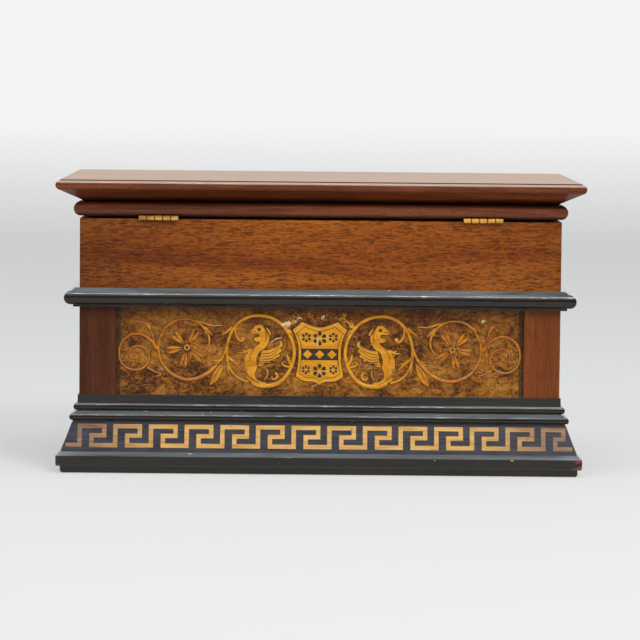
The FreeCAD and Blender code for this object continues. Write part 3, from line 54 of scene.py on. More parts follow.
camera = bpy.data.objects.new("camera", bpy.data.cameras.new("camera"))
camera.data.lens = camera_lens
camera.data.sensor_width = 36.0
camera.data.clip_end = 50.0
level_look = Matrix.Rotation(-camera_aside, 4, "Z") @ Matrix.Rotation(math.pi / 2 - camera_down, 4, "X")
camera.matrix_world = Matrix.Translation(camera_place) @ level_look @ Matrix.Rotation(camera_lean, 4, "Z")
bpy.context.scene.collection.objects.link(camera)
bpy.context.scene.camera = camera
bpy.context.scene.view_settings.view_transform = "Standard"


# Studio: one sweep of pale card lies under the box and turns up behind it. Soft lamps stand above, to
# the right and to the left of the camera, and a long tube hangs over the box.
sweep_width = 14.0
sweep_behind = 3.6
sweep_bend = 1.2
sweep_hair = 0.01
card_colour = (0.70, 0.695, 0.685, 1.0)
floor_glow = 0.42
back_glow = 0.85
back_glow_height = 0.15
sky_above = (0.86, 0.92, 1.0, 1.0)
sky_low = (0.20, 0.20, 0.20, 1.0)
sky_strength = 0.5
lamps_aim = Vector((0, 0, 0.1))


def shader_of(finish):
    """The principled shader of a finish."""
    return finish.node_tree.nodes["Principled BSDF"]


def new_finish(name, **settings):
    """A new finish with one principled shader, whose even settings stand on its own sockets."""
    made = bpy.data.materials.new(name)
    made.use_nodes = True
    for key, value in settings.items():
        shader_of(made).inputs[key.replace("_", " ")].default_value = value
    return made


def put(tree, kind, setup=None, **inputs):
    """Add a node to a finish's tree and give its outputs. An input is a plain value or another's output."""
    made = tree.nodes.new("ShaderNode" + kind)
    for key, value in (setup or {}).items():
        setattr(made, key, value)
    for key, value in inputs.items():
        numbered = key[0] == "i" and key[1:].isdigit()
        socket = made.inputs[int(key[1:]) if numbered else key.replace("_", " ")]
        if isinstance(value, bpy.types.NodeSocket):
            tree.links.new(value, socket)
        else:
            socket.default_value = value
    return made.outputs


def sums(way, first, second=0.0):
    """One sum on two values, or on the first alone."""
    return put(first.id_data, "Math", {"operation": way}, i0=first, i1=second)["Value"]


def times(first, second):
    """One value times another."""
    return sums("MULTIPLY", first, second)


def between(value, low, high):
    """How far a value has come from low to high, held between 0 and 1."""
    return put(value.id_data, "MapRange", Value=value, From_Min=low, From_Max=high)["Result"]


def blend(share, first, second, way="MIX"):
    """Mix two colours by a share."""
    mixed = put(share.id_data, "MixRGB", {"blend_type": way}, Fac=share, Color1=first, Color2=second)
    return mixed["Color"]


def split(vector):
    """The three parts of a vector, as X, Y and Z."""
    return put(vector.id_data, "SeparateXYZ", Vector=vector)


def spread(finish):
    """The three coordinates of the piece, as X, Y and Z."""
    return split(put(finish.node_tree, "TexCoord")["Object"])


def placed(name, data):
    """Put a new object into the scene."""
    thing = bpy.data.objects.new(name, data)
    bpy.context.scene.collection.objects.link(thing)
    return thing


def deselect_all():
    """Leave nothing selected, so that the next operator acts on its own piece alone."""
    bpy.ops.object.select_all(action="DESELECT")


def only(piece):
    """Select one piece alone and make it the active one."""
    deselect_all()
    piece.select_set(True)
    bpy.context.view_layer.objects.active = piece


def settle(piece):
    """Apply a piece's place, so that it sits at the origin with its place in its mesh."""
    only(piece)
    bpy.ops.object.transform_apply(location=True, rotation=True, scale=True)


def pick_edges(piece, wanted):
    """Select in edit mode the edges whose middle passes the test."""
    bpy.ops.object.mode_set(mode="EDIT")
    bpy.ops.mesh.select_mode(type="EDGE")
    bpy.ops.mesh.select_all(action="DESELECT")
    bpy.ops.object.mode_set(mode="OBJECT")
    points = piece.data.vertices
    for edge in piece.data.edges:
        edge.select = wanted((points[edge.vertices[0]].co + points[edge.vertices[1]].co) / 2)
    bpy.ops.object.mode_set(mode="EDIT")


deselect_all()
bpy.ops.mesh.primitive_plane_add(size=sweep_width, location=(0, sweep_behind - sweep_width / 2, 0))
sweep = bpy.context.object
sweep.name = "studio_sweep"
settle(sweep)
pick_edges(sweep, lambda middle: middle.y > sweep_behind - sweep_hair)
bpy.ops.mesh.extrude_region_move(TRANSFORM_OT_translate={"value": (0, 0, sweep_width / 2)})
pick_edges(sweep, lambda middle: middle.y > sweep_behind - sweep_hair and middle.z < sweep_hair)
bpy.ops.mesh.bevel(offset=sweep_bend, segments=24)
bpy.ops.object.mode_set(mode="OBJECT")
bpy.ops.object.shade_smooth()
pale_card = new_finish("pale_card", Base_Color=card_colour, Roughness=0.9)
card_tree = pale_card.node_tree
# The card glows where it is seen or mirrored, and this glow lights nothing else.
seen = put(card_tree, "LightPath")
seen_or_mirrored = sums("MAXIMUM", seen["Is Camera Ray"], seen["Is Glossy Ray"])
seen_at_all = sums("MAXIMUM", seen_or_mirrored, seen["Is Transmission Ray"])
card_glow = put(card_tree, "MapRange", Value=spread(pale_card)["Z"], From_Max=back_glow_height,
                To_Min=floor_glow, To_Max=back_glow)
glow_share = times(seen_at_all, card_glow["Result"])
card_light = put(card_tree, "Emission", Strength=1.0)
card_face = put(card_tree, "MixShader", Fac=glow_share, i1=shader_of(pale_card).outputs["BSDF"],
                i2=card_light["Emission"])
card_tree.links.new(card_face["Shader"], card_tree.nodes["Material Output"].inputs["Surface"])
sweep.data.materials.append(pale_card)


def lamp(name, place, width, height, power, colour, gleam_only=False):
    """A soft lamp: a flat panel of light that faces the box. A long tube shows only as gleams on polish."""
    light = bpy.data.lights.new(name, "AREA")
    light.shape = "RECTANGLE"
    light.size = width
    light.size_y = height
    light.energy = power
    light.color = colour
    stand = placed(name, light)
    facing = (lamps_aim - Vector(place)).to_track_quat("-Z", "Y").to_matrix().to_4x4()
    stand.matrix_world = Matrix.Translation(place) @ facing
    stand.visible_camera = False
    stand.visible_diffuse = not gleam_only


lamp("lamp_right", (1.2, -1.9, 1.8), 1.2, 1.0, 40.0, (1.0, 0.98, 0.94))
lamp("lamp_left", (-1.6, -1.9, 1.3), 1.2, 1.0, 14.0, (1.0, 0.98, 0.95))
lamp("lamp_above", (0.1, -0.25, 1.9), 1.5, 0.9, 9.0, (0.92, 0.96, 1.0))
lamp("tube_above", (0.0, -0.6, 1.9), 3.4, 0.06, 38.0, (0.86, 0.94, 1.0), gleam_only=True)
studio_world = bpy.data.worlds.new("studio_world")
studio_world.use_nodes = True
sky_tree = studio_world.node_tree
sky = sky_tree.nodes["Background"].inputs
sky_rise = between(split(put(sky_tree, "TexCoord")["Generated"])["Z"], -0.1, 0.9)
sky_tree.links.new(blend(sky_rise, sky_low, sky_above), sky["Color"])
sky["Strength"].default_value = sky_strength
bpy.context.scene.world = studio_world


# Carcass: plain boards of pale softwood, glued at the corners, with a thin soundboard on two
# battens and lining strips that stand above the rim to meet the lid.
softwood_pore = (92, 62, 36)


def tone(red, green, blue):
    """A colour as the eye reads it, from 0 to 255, turned into the shader's linear values."""
    linear = []
    for value in (red, green, blue):
        share = value / 255
        linear.append(share / 12.92 if share <= 0.04045 else ((share + 0.055) / 1.055) ** 2.4)
    return (*linear, 1.0)


def join_to(output, socket):
    """Drive one socket of the finish's shader by a node's output."""
    tree = output.id_data
    tree.links.new(output, tree.nodes["Principled BSDF"].inputs[socket])


def ramp(share, *tones):
    """Colours along a share from 0 to 1. Each is given as its place on the share and its tone."""
    colours = put(share.id_data, "ValToRGB", Fac=share)["Color"]
    points = colours.node.color_ramp.elements
    stops = [(place, tone(*colour)) for place, colour in tones]
    points[0].position, points[0].color = stops[0]
    points[1].position, points[1].color = stops[-1]
    for place, colour in stops[1:-1]:
        points.new(place).color = colour
    return colours


def plus(first, second):
    """One value and another."""
    return sums("ADD", first, second)


def unsigned(value):
    """How far a value is from nought, on either side of it."""
    return sums("ABSOLUTE", value)


def stretched(place, scale):
    """Coordinates for a pattern of cells; scale counts them in each metre along each axis."""
    return put(place.id_data, "VectorMath", {"operation": "MULTIPLY"}, i0=place, i1=scale)["Vector"]


def spots(place, scale, detail=3.0, warp=0.0):
    """Soft noise with so many cells in each metre."""
    cells = stretched(place, scale)
    return put(place.id_data, "TexNoise", Vector=cells, Scale=1.0, Detail=detail, Distortion=warp)["Fac"]


def whole(x, y, z):
    """A vector put together from its three parts."""
    return put(x.id_data, "CombineXYZ", X=x, Y=y, Z=z)["Vector"]


def along_grain(finish, way):
    """Coordinates whose first axis follows the grain: x, y or z, or the mitred lengths of a ring."""
    axes = spread(finish)
    x, y, z = axes["X"], axes["Y"], axes["Z"]
    if way == "ring":
        # On the short lengths of a ring the grain turns with them, past the mitre at each corner.
        mitre = (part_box("frieze_boards")[1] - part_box("frieze_boards")[0]) / 2
        lead = sums("SUBTRACT", unsigned(x), unsigned(y))
        side = sums("GREATER_THAN", lead, mitre[0] - mitre[1])
        return blend(side, whole(x, y, z), whole(y, x, z))
    return whole(*{"x": (x, y, z), "y": (y, x, z), "z": (z, x, y)}[way])


def raise_by(height, strength, distance):
    """Let a pattern stand out as fine relief."""
    bump = put(height.id_data, "Bump", Strength=strength, Distance=distance, Height=height)
    join_to(bump["Normal"], "Normal")


def straight_wood(name, way, tones, pore_tone, pores, gloss, coat=0.0, open_pores=0.56):
    """Straight-grained wood: slow bands of figure, fine fibres and short dark pores."""
    finish = new_finish(name, Coat_Weight=coat, Coat_Roughness=0.1, Specular_IOR_Level=0.16)
    place = along_grain(finish, way)
    figure = spots(place, (5.0, 55.0, 55.0), 4.0, 0.7)
    fibre = spots(place, (40.0, 900.0, 900.0), 3.0, 0.2)
    shade = plus(times(figure, 0.62), times(fibre, 0.38))
    colour = ramp(shade, (0.34, tones[0]), (0.50, tones[1]), (0.66, tones[2]))
    short_lines = spots(place, (215.0, 1400.0, 1400.0), 3.0, 0.9)
    streaks = between(short_lines, open_pores, open_pores + 0.12)
    colour = blend(times(streaks, pores), colour, tone(*pore_tone))
    join_to(colour, "Base Color")
    rough = between(fibre, -0.9, 1.5)
    join_to(plus(times(rough, 0.3), gloss - 0.15), "Roughness")
    raise_by(sums("SUBTRACT", fibre, streaks), 0.25, 0.0001)
    return finish, colour


def dress(finish, *names):
    """Give CAD nodes their finish."""
    for name in names:
        for held in nodes[name].material_slots:
            held.material = finish


for name, way, tones, pore_tone, pores, gloss, boards in (
    ("bare_softwood", "x", [(116, 82, 48), (150, 112, 68), (172, 134, 86)], softwood_pore, 0.35, 0.7,
     ["bottom_board", "soundboard_bearers", "rear_wall", "front_wall"]),
    ("side_softwood", "y", [(112, 78, 46), (146, 108, 64), (168, 130, 82)], softwood_pore, 0.35, 0.7,
     ["left_wall", "right_wall"]),
    ("varnished_spruce", "x", [(150, 104, 54), (184, 138, 80), (204, 160, 100)], (122, 80, 40), 0.3, 0.4,
     ["soundboard"]),
    ("stained_lining", "ring", [(58, 34, 20), (92, 56, 32), (116, 74, 44)], (40, 22, 14), 0.5, 0.5,
     ["dust_lip"]),
):
    board_finish, _ = straight_wood(name, way, tones, pore_tone, pores, gloss)
    dress(board_finish, *boards)


# Ebonised mouldings: the plinth, the stepped moulding over the key band and the half-round waist. They
# are planed from lengths of beech, mitred, stained black and polished, and worn to red at the corners.
ebony_black = (20, 15, 8)
ebony_grey = (38, 30, 18)
dust_and_sheen_grey = tone(150, 158, 162)
chip_pale = tone(196, 164, 122)
worn_red = tone(118, 62, 34)
worn_before_corner = 0.016
worn_past_corner = 0.006


def facing_up(finish):
    """How far a face looks upwards."""
    return split(put(finish.node_tree, "NewGeometry")["Normal"])["Z"]


ebonised = new_finish("ebonised_polish", Specular_IOR_Level=0.5)
ebony_place = along_grain(ebonised, "ring")
ebony_cloud = spots(ebony_place, (14.0, 160.0, 160.0), 4.0, 0.5)
ebony_fibre = spots(ebony_place, (60.0, 1100.0, 1100.0), 3.0)
ebony_colour = ramp(ebony_cloud, (0.35, ebony_black), (0.72, ebony_grey))
ebony_axes = spread(ebonised)
ebony_reach = plus(unsigned(ebony_axes["X"]), unsigned(ebony_axes["Y"]))
plinth_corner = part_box("plinth_moulding")[1]
corner_reach = plinth_corner[0] + plinth_corner[1]
at_corner = between(ebony_reach, corner_reach - worn_before_corner, corner_reach + worn_past_corner)
ebony_scuff = spots(ebony_place, (70.0, 240.0, 240.0), 5.0, 1.0)
ebony_wear = plus(ebony_scuff, times(at_corner, 0.30))
ebony_bare = between(ebony_wear, 0.72, 0.77)
ebony_colour = blend(ebony_bare, ebony_colour, worn_red)
# Dust lies on the faces that look up, and its pale grey is also a painted highlight for the sheen of light
# from above.
ebony_flat = between(facing_up(ebonised), 0.30, 1.0)
ebony_dust_and_sheen = times(ebony_flat, between(ebony_cloud, 0.1, 0.7))
ebony_colour = blend(times(ebony_dust_and_sheen, 0.85), ebony_colour, dust_and_sheen_grey)
ebony_chips = between(spots(ebony_place, (130.0, 330.0, 330.0), 1.0), 0.785, 0.80)
ebony_colour = blend(ebony_chips, ebony_colour, chip_pale)
join_to(ebony_colour, "Base Color")
ebony_rough = plus(times(ebony_cloud, 0.13), 0.05)
join_to(plus(ebony_rough, times(ebony_bare, 0.3)), "Roughness")
ebony_height = sums("SUBTRACT", ebony_fibre, times(ebony_bare, 1.5))
raise_by(ebony_height, 0.45, 0.0002)
dress(ebonised, "plinth_moulding", "stepped_moulding", "waist_moulding")


# Key band: a sloping board veneered in dark stained wood, with a key border of pale boxwood let in
# flush all the way round. The strips are sawn square and butt at their corners.
MM = 0.001
key_foot_low, key_foot_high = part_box("key_band")
key_line = 2.75
key_tall = 15.0
key_rise = 2.9
key_proud = 0.12
long_key_pitch = 22.24
long_key_start = -149.2
side_key_pitch = 22.0
side_key_start = -82.6
key_foot_gap = 0.4
key_head_gap = 0.3
# Where a key turns, as shares of its height and of its pitch.
key_middle = 0.51
key_hook = 0.685
key_return = 0.335
# The slope of the band, from its foot to its head.
key_slope_run = 6.8
key_slope_rise = (key_foot_high[2] - key_foot_low[2]) / MM
key_slope = math.atan2(key_slope_run, key_slope_rise)


def meander(start, pitch, units, left_end, right_end, head_end):
    """The middle line of a key border: up, along, down, back, down again and on to the next unit."""
    low = key_line / 2
    high = key_tall - key_line / 2
    middle = key_middle * key_tall
    line = [(left_end, low)]
    for unit in range(units):
        x = start + unit * pitch
        turn_down = min(x + key_hook * pitch, head_end)
        back = x + key_return * pitch
        line += [(x, low), (x, high), (turn_down, high), (turn_down, middle), (back, middle), (back, low)]
    line.append((right_end, low))
    return line


def strip_outline(line, width):
    """The outline of a square-cornered strip of even width along a line of points."""
    sides = ([], [])
    for k, point in enumerate(line):
        here = Vector(point)
        before = (here - Vector(line[k - 1])).normalized() if k else None
        after = (Vector(line[k + 1]) - here).normalized() if k + 1 < len(line) else None
        before = before or after
        after = after or before
        square = Vector((-before.y, before.x))
        other = Vector((-after.y, after.x))
        mitre = (square + other) / (1 + square.dot(other))
        sides[0].append(here + mitre * width / 2)
        sides[1].append(here - mitre * width / 2)
    return sides[0] + sides[1][::-1]


def give_finish(piece, finish):
    """Give a new piece its one finish."""
    piece.data.materials.clear()
    piece.data.materials.append(finish)


def edit_all(piece):
    """Open one piece in edit mode with all of it selected."""
    only(piece)
    bpy.ops.object.mode_set(mode="EDIT")
    bpy.ops.mesh.select_all(action="SELECT")


def drawn_mesh(curve, name):
    """Turn a drawn curve into a mesh piece with clean outward faces."""
    only(placed(name, curve))
    bpy.ops.object.convert(target="MESH")
    edit_all(bpy.context.object)
    bpy.ops.mesh.remove_doubles(threshold=1e-6)
    bpy.ops.mesh.normals_make_consistent(inside=False)
    bpy.ops.object.mode_set(mode="OBJECT")
    return bpy.context.object


def drawing(name):
    """A blank flat drawing."""
    curve = bpy.data.curves.new(name, "CURVE")
    curve.dimensions = "2D"
    return curve


def add_straight(curve, outline):
    """Draw a closed outline with straight sides."""
    spline = curve.splines.new("POLY")
    spline.points.add(len(outline) - 1)
    spline.use_cyclic_u = True
    for spot, point in zip(spline.points, outline):
        spot.co = (point[0] * MM, point[1] * MM, 0, 1)


def cut_from_sheet(name, outline, half_thick):
    """A flat shape with straight edges, sawn from a sheet and laid round the plane z = 0."""
    curve = drawing(name)
    curve.fill_mode = "BOTH"
    curve.extrude = half_thick * MM
    add_straight(curve, outline)
    return drawn_mesh(curve, name)


def aged_boxwood(name, gleam, fibre, cloud, fresh, aged, aged_from, pits):
    """Boxwood: fine fibres and dark pits, fresh at the middle of a side and aged towards its ends.

    Fibre and cloud are each a scale and a warp. Pits are a scale, an upper edge, a share and a tone.
    """
    finish = new_finish(name, Specular_IOR_Level=gleam, Roughness=0.4)
    place = along_grain(finish, "ring")
    fibres = spots(place, fibre[0], 3.0, fibre[1])
    clouds = spots(place, cloud[0], 3.0, cloud[1])
    far = plus(unsigned(spread(finish)["X"]), times(clouds, 0.05))
    fresh_colour = ramp(fibres, *fresh)
    colour = blend(between(far, *aged_from), fresh_colour, ramp(fibres, *aged))
    pit_scale, pit_edge, pit_share, pit_tone = pits
    pitted = between(spots(place, pit_scale, 2.0), 0.66, pit_edge)
    colour = blend(times(pitted, pit_share), colour, tone(*pit_tone))
    join_to(colour, "Base Color")
    return finish, fibres


key_boxwood, key_fibre = aged_boxwood(
    "key_boxwood", 0.25, ((60.0, 700.0, 700.0), 0.3), ((22.0, 60.0, 60.0), 0.4),
    fresh=[(0.3, (196, 142, 72)), (0.5, (218, 168, 92)), (0.7, (228, 184, 112))],
    aged=[(0.3, (118, 86, 66)), (0.5, (146, 110, 82)), (0.7, (164, 128, 96))],
    aged_from=(0.120, 0.168), pits=((320.0, 420.0, 420.0), 0.72, 0.55, (96, 62, 30)))
join_to(plus(times(key_fibre, 0.2), 0.32), "Roughness")

key_ground = new_finish("key_ground", Specular_IOR_Level=0.3)
ground_place = along_grain(key_ground, "ring")
ground_fibre = spots(ground_place, (35.0, 800.0, 800.0), 4.0, 0.3)
ground_dust = between(spots(ground_place, (90.0, 120.0, 120.0), 5.0, 0.8), 0.45, 0.75)
ground_colour = ramp(ground_fibre, (0.34, (31, 31, 40)), (0.66, (58, 58, 70)))
ground_colour = blend(times(ground_dust, 0.25), ground_colour, tone(84, 80, 82))
join_to(ground_colour, "Base Color")
join_to(plus(times(ground_fibre, 0.3), 0.3), "Roughness")
dress(key_ground, "key_band")

key_half_w = key_foot_high[0] / MM
key_half_d = key_foot_high[1] / MM
for key_name, turn, half_long, half_across, start, pitch, units in (
    ("key_rear", 0, key_half_w, key_half_d, long_key_start, long_key_pitch, 14),
    ("key_left", 90, key_half_d, key_half_w, side_key_start, side_key_pitch, 8),
    ("key_front", 180, key_half_w, key_half_d, long_key_start, long_key_pitch, 14),
    ("key_right", 270, key_half_d, key_half_w, side_key_start, side_key_pitch, 8),
):
    # At its foot the border runs out to the mitre, which leans in with the slope.
    end = half_long - math.tan(key_slope) * key_rise - key_line / 2 - key_foot_gap
    head_end = half_long - math.tan(key_slope) * (key_rise + key_tall) - key_line / 2 - key_head_gap
    line = meander(start, pitch, units, -end, end, head_end)
    border = cut_from_sheet(key_name, strip_outline(line, key_line), key_proud)
    border.matrix_world = (
        Matrix.Rotation(math.radians(turn), 4, "Z")
        @ Matrix.Translation((0, -half_across * MM, key_foot_low[2]))
        @ Matrix.Rotation(math.pi / 2 - key_slope, 4, "X")
        @ Matrix.Translation((0, key_rise * MM, 0)))
    settle(border)
    give_finish(border, key_boxwood)
    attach(border, "case")


# Panels: sheets of burr walnut, glued to the carcass between the corner posts and polished. A dark band is
# painted at each end, and a painted shadow of the waist darkens the top of each panel.
panel_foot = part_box("rear_panel")[0][2]
panel_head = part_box("rear_panel")[1][2]
painted_shadow_deep = 0.026
dark_end_wide = 0.0032


def burr_walnut(name, way, half_length, *panels):
    """Burr veneer: clouds and curls of brown and gold, with small dark eyes."""
    finish = new_finish(name, Specular_IOR_Level=0.2, Roughness=0.4)
    place = along_grain(finish, way)
    tree = finish.node_tree
    axes = split(place)
    cloud = spots(place, (24.0, 24.0, 36.0), 3.0, 1.4)
    curl = spots(place, (95.0, 95.0, 150.0), 4.0, 2.2)
    speck = spots(place, (800.0, 800.0, 800.0), 2.0)
    broad = plus(times(cloud, 0.36), times(curl, 0.36))
    shade = plus(broad, times(speck, 0.28))
    colour = ramp(shade, (0.41, (64, 36, 14)), (0.46, (106, 62, 20)), (0.52, (148, 92, 28)),
                  (0.60, (182, 124, 46)))
    cells = put(tree, "TexVoronoi", Vector=stretched(place, (85.0, 85.0, 85.0)), Scale=1.0)
    chosen = put(tree, "SeparateColor", Color=cells["Color"])["Red"]
    has_eye = sums("LESS_THAN", chosen, 0.22)
    eye = times(has_eye, between(cells["Distance"], 0.30, 0.10))
    colour = blend(times(eye, 0.75), colour, tone(46, 27, 17))
    # Painted shadow: the top of the panel is darkened where the waist moulding overhangs it.
    painted_waist_shadow = between(axes["Z"], panel_head - painted_shadow_deep, panel_head)
    colour = blend(times(painted_waist_shadow, 0.5), colour, tone(92, 44, 18))
    # A dark band is painted along each end of the panel, where it meets the post.
    dark_end_band = sums("GREATER_THAN", unsigned(axes["X"]), half_length - dark_end_wide)
    colour = blend(times(dark_end_band, 0.7), colour, tone(46, 36, 26))
    join_to(colour, "Base Color")
    raise_by(curl, 0.2, 0.0001)
    dress(finish, *panels)


burr_walnut("burr_long", "x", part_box("rear_panel")[1][0], "rear_panel", "front_panel")
burr_walnut("burr_short", "y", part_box("left_panel")[1][1], "left_panel", "right_panel")


# Inlay: scrolls, rosettes and winged birds of boxwood, fretted from one sheet and let into the burr
# round a shield. A hot needle and ink draw their dark edges and the feathers.
line_top = 0.12
plate_top = 0.26
top_step = 0.0015
ink_edge = 0.55
ink_top = 0.09
needle_top = 0.36
needle_half = 0.08
needle_lift = needle_top - needle_half
needle_wide = 0.4
needle_fine = 0.25
chip_top = needle_top + 0.03
long_panel_reach = -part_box("rear_panel")[0][1]
end_panel_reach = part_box("left_panel")[1][0]

# Points are in millimetres, along from the middle of a panel and up from its foot.
end_spiral = [
    (-101.6, 28.3), (-105.9, 34.2), (-115.1, 37.9), (-122.6, 34.0), (-125.3, 26.0), (-122.7, 18.2),
    (-114.9, 15.2), (-108.3, 18.5), (-106.7, 24.5), (-110.7, 29.6), (-116.1, 29.8), (-119.0, 26.3),
    (-117.3, 22.5), (-114.4, 23.3)]
spiral_widths = (2.2, 1.2, 1.1, 1.0, 0.9)
spiral_knob = ((-114.6, 23.6), 1.3)
rosette_ring = [
    (-57.5, 33.6), (-59.6, 26.0), (-64.9, 18.4), (-71.9, 12.4), (-80.5, 9.6), (-89.1, 11.1), (-96.7, 17.0),
    (-100.8, 27.8), (-98.9, 37.5), (-92.5, 45.1), (-85.0, 47.4), (-76.4, 45.3), (-71.0, 39.9),
    (-69.0, 33.5), (-70.9, 28.1), (-74.1, 24.8)]
rosette_ring_widths = (1.2, 2.2, 1.7, 1.5, 1.2, 1.3, 0.6)
end_ring_widths = (2.2, 1.8, 1.5, 1.2, 0.6)
bird_ring = [
    (-42.8, 7.8), (-50.3, 10.4), (-55.8, 16.3), (-58.0, 24.9), (-57.0, 34.7), (-52.7, 43.3), (-45.2, 48.8),
    (-37.7, 50.0), (-28.0, 47.4), (-20.4, 40.4), (-16.3, 30.7), (-16.5, 22.1), (-20.2, 13.4), (-25.5, 7.9),
    (-33.1, 5.9), (-40.6, 7.3), (-45.5, 12.0)]
bird_ring_widths = (1.2, 1.8, 2.0, 2.0, 2.4, 3.2)
# Each small stem, leaf and curl: its line, then its width from one end to the other.
scroll_stems = [
    ([(-50.1, 46.8), (-52.7, 41.2), (-51.6, 36.3), (-48.9, 34.0), (-47.6, 35.8)], (1.0, 1.4, 1.9)),
    ([(-54.9, 42.8), (-58.2, 39.6), (-61.3, 37.7)], (1.8, 1.2, 0.5)),
    ([(-79.6, 46.5), (-73.2, 45.3), (-67.8, 43.5), (-60.8, 43.8)], (1.6, 1.2, 0.5)),
    ([(-72.1, 42.6), (-69.2, 39.6), (-67.2, 37.3)], (1.6, 1.2, 0.4)),
    ([(-71.9, 42.5), (-71.6, 40.0), (-71.8, 37.6)], (1.0, 1.1, 0.4)),
    ([(-63.3, 22.2), (-65.4, 20.2), (-67.6, 19.4)], (1.6, 1.4, 0.6)),
    ([(-64.2, 21.4), (-66.3, 21.6), (-68.2, 21.1)], (1.2, 1.2, 0.6)),
    ([(-57.4, 23.9), (-53.6, 20.7), (-48.7, 15.8)], (1.6, 1.8, 0.5)),
    ([(-54.0, 20.9), (-51.6, 20.4), (-49.3, 19.6)], (1.2, 1.1, 0.4)),
    ([(-57.4, 19.5), (-57.2, 16.0), (-56.3, 12.5)], (1.4, 1.5, 0.4)),
    ([(-103.4, 33.2), (-105.4, 39.1), (-108.6, 44.4), (-115.1, 46.0)], (0.8, 1.0, 0.6)),
    ([(-98.3, 39.5), (-96.8, 42.5), (-94.6, 43.4)], (0.5, 1.2, 0.5)),
    ([(-108.0, 16.9), (-102.0, 13.7), (-99.3, 12.7), (-100.9, 11.8)], (0.8, 0.8, 1.1)),
    ([(-97.4, 15.2), (-99.6, 15.6), (-101.4, 14.6)], (0.9, 0.8, 0.5)),
    ([(-17.6, 18.8), (-19.7, 23.1), (-20.3, 26.4)], (2.0, 1.9, 0.4)),
    ([(-18.1, 17.7), (-22.4, 18.8), (-23.5, 20.4), (-21.9, 21.2)], (1.2, 0.9, 0.8)),
    ([(-27.7, 14.4), (-26.4, 11.7), (-28.8, 10.1), (-30.3, 11.6)], (1.3, 1.6, 0.7)),
    ([(-32.6, 16.0), (-32.7, 12.6), (-34.6, 9.6)], (1.0, 0.9, 0.4)),
    ([(-42.9, 28.9), (-47.2, 27.0), (-51.0, 26.6)], (1.5, 1.1, 0.5)),
    ([(-46.4, 27.2), (-47.4, 28.2), (-48.3, 28.8)], (0.9, 0.8, 0.4)),
    ([(-46.0, 27.4), (-46.6, 25.8), (-46.7, 24.5)], (0.9, 0.8, 0.4)),
    ([(-21.8, 42.0), (-18.8, 40.6), (-16.6, 37.6)], (0.6, 1.2, 0.4)),
    ([(-21.4, 41.6), (-20.4, 44.4), (-19.2, 47.4)], (1.8, 1.5, 0.6)),
    ([(-19.6, 42.6), (-17.8, 46.0), (-15.6, 46.9), (-14.8, 45.7)], (1.4, 1.1, 0.9)),
]
stem_knob = ((-47.9, 35.4), 1.3)
hanging_bud = [
    (-60.1, 20.6, "sharp"), (-63.4, 17.6), (-66.8, 12.6), (-68.8, 5.9, "sharp"), (-64.2, 9.0),
    (-61.0, 14.8)]
bud_vein = [(-60.6, 19.4), (-64.6, 13.4), (-67.6, 8.0)]
top_bud = [(-105.2, 39.6, "sharp"), (-107.9, 42.3), (-108.4, 44.9), (-106.0, 43.4)]
bird_body = [
    (-44.0, 40.0, "sharp"), (-42.0, 41.6), (-40.2, 43.5), (-37.9, 44.2), (-35.1, 43.3), (-32.6, 40.6),
    (-31.6, 36.6), (-32.0, 33.2), (-34.0, 30.2), (-36.4, 27.4), (-37.2, 22.0), (-39.7, 16.0),
    (-40.4, 13.2), (-39.7, 10.6), (-37.4, 8.8), (-33.4, 8.2, "sharp"), (-34.4, 5.6), (-40.6, 7.0),
    (-43.8, 9.8), (-46.1, 14.4), (-47.1, 19.9), (-46.6, 23.6), (-45.0, 26.8), (-42.0, 29.1), (-39.2, 31.1),
    (-37.6, 33.4), (-39.6, 33.6), (-41.4, 35.0, "sharp"), (-40.4, 36.2, "sharp"), (-38.5, 36.5),
    (-37.7, 37.9), (-39.4, 38.8), (-42.0, 38.7)]
bird_ear = [(-35.4, 43.3, "sharp"), (-32.4, 42.0), (-29.9, 38.2, "sharp"), (-31.4, 37.8), (-33.2, 40.0)]
bird_wing = [
    (-38.1, 26.3, "sharp"), (-36.1, 28.3), (-32.4, 28.6), (-28.8, 30.0), (-26.0, 31.7), (-25.2, 33.2),
    (-26.6, 34.8, "sharp"), (-23.8, 34.2), (-22.9, 31.4), (-24.7, 29.8, "sharp"), (-23.5, 28.2),
    (-25.3, 26.5, "sharp"), (-24.6, 25.0), (-26.9, 23.4, "sharp"), (-27.2, 21.9), (-30.0, 21.5, "sharp"),
    (-30.9, 20.1), (-33.7, 20.6, "sharp"), (-35.1, 18.6), (-38.6, 17.9, "sharp"), (-39.3, 22.0)]
bird_feathers = [
    [(-36.8, 25.8), (-31.5, 26.6), (-27.0, 29.2), (-25.0, 32.2)],
    [(-36.4, 24.3), (-31.0, 24.8), (-24.9, 29.6)], [(-36.2, 22.9), (-31.4, 23.0), (-25.5, 26.4)],
    [(-36.4, 21.5), (-32.0, 21.2), (-27.1, 23.3)], [(-36.8, 20.1), (-33.4, 19.9), (-30.2, 21.4)],
    [(-43.4, 39.9), (-41.4, 40.2), (-39.8, 39.6)], [(-45.6, 17.0), (-45.2, 13.4), (-42.0, 9.4)],
    [(-40.4, 29.6), (-43.2, 26.0), (-43.6, 21.0)], [(-42.6, 11.6), (-40.8, 9.2), (-37.4, 7.2)],
    [(-34.4, 40.6), (-33.4, 37.0), (-34.2, 33.4)]]
bird_eye = ((-37.9, 41.3), 1.05)
rosette_middle = (-83.0, 29.6)
rosette_boss = 2.0
rosette_eye = 0.9
rosette_lobes = (61, 134, 189, 258, 324)
rosette_split = 8
rosette_near, rosette_far = 2.8, 13.0
rosette_lobe_half = 0.95
petal_belly = 0.68
shield_side = [
    (5.5, 44.0), (11.2, 46.2, "sharp"), (14.2, 43.4), (17.0, 41.4, "sharp"), (14.3, 35.5), (13.2, 28.5),
    (13.5, 20.0), (14.8, 12.2, "sharp"), (10.8, 9.6), (7.0, 9.0), (3.0, 8.6)]
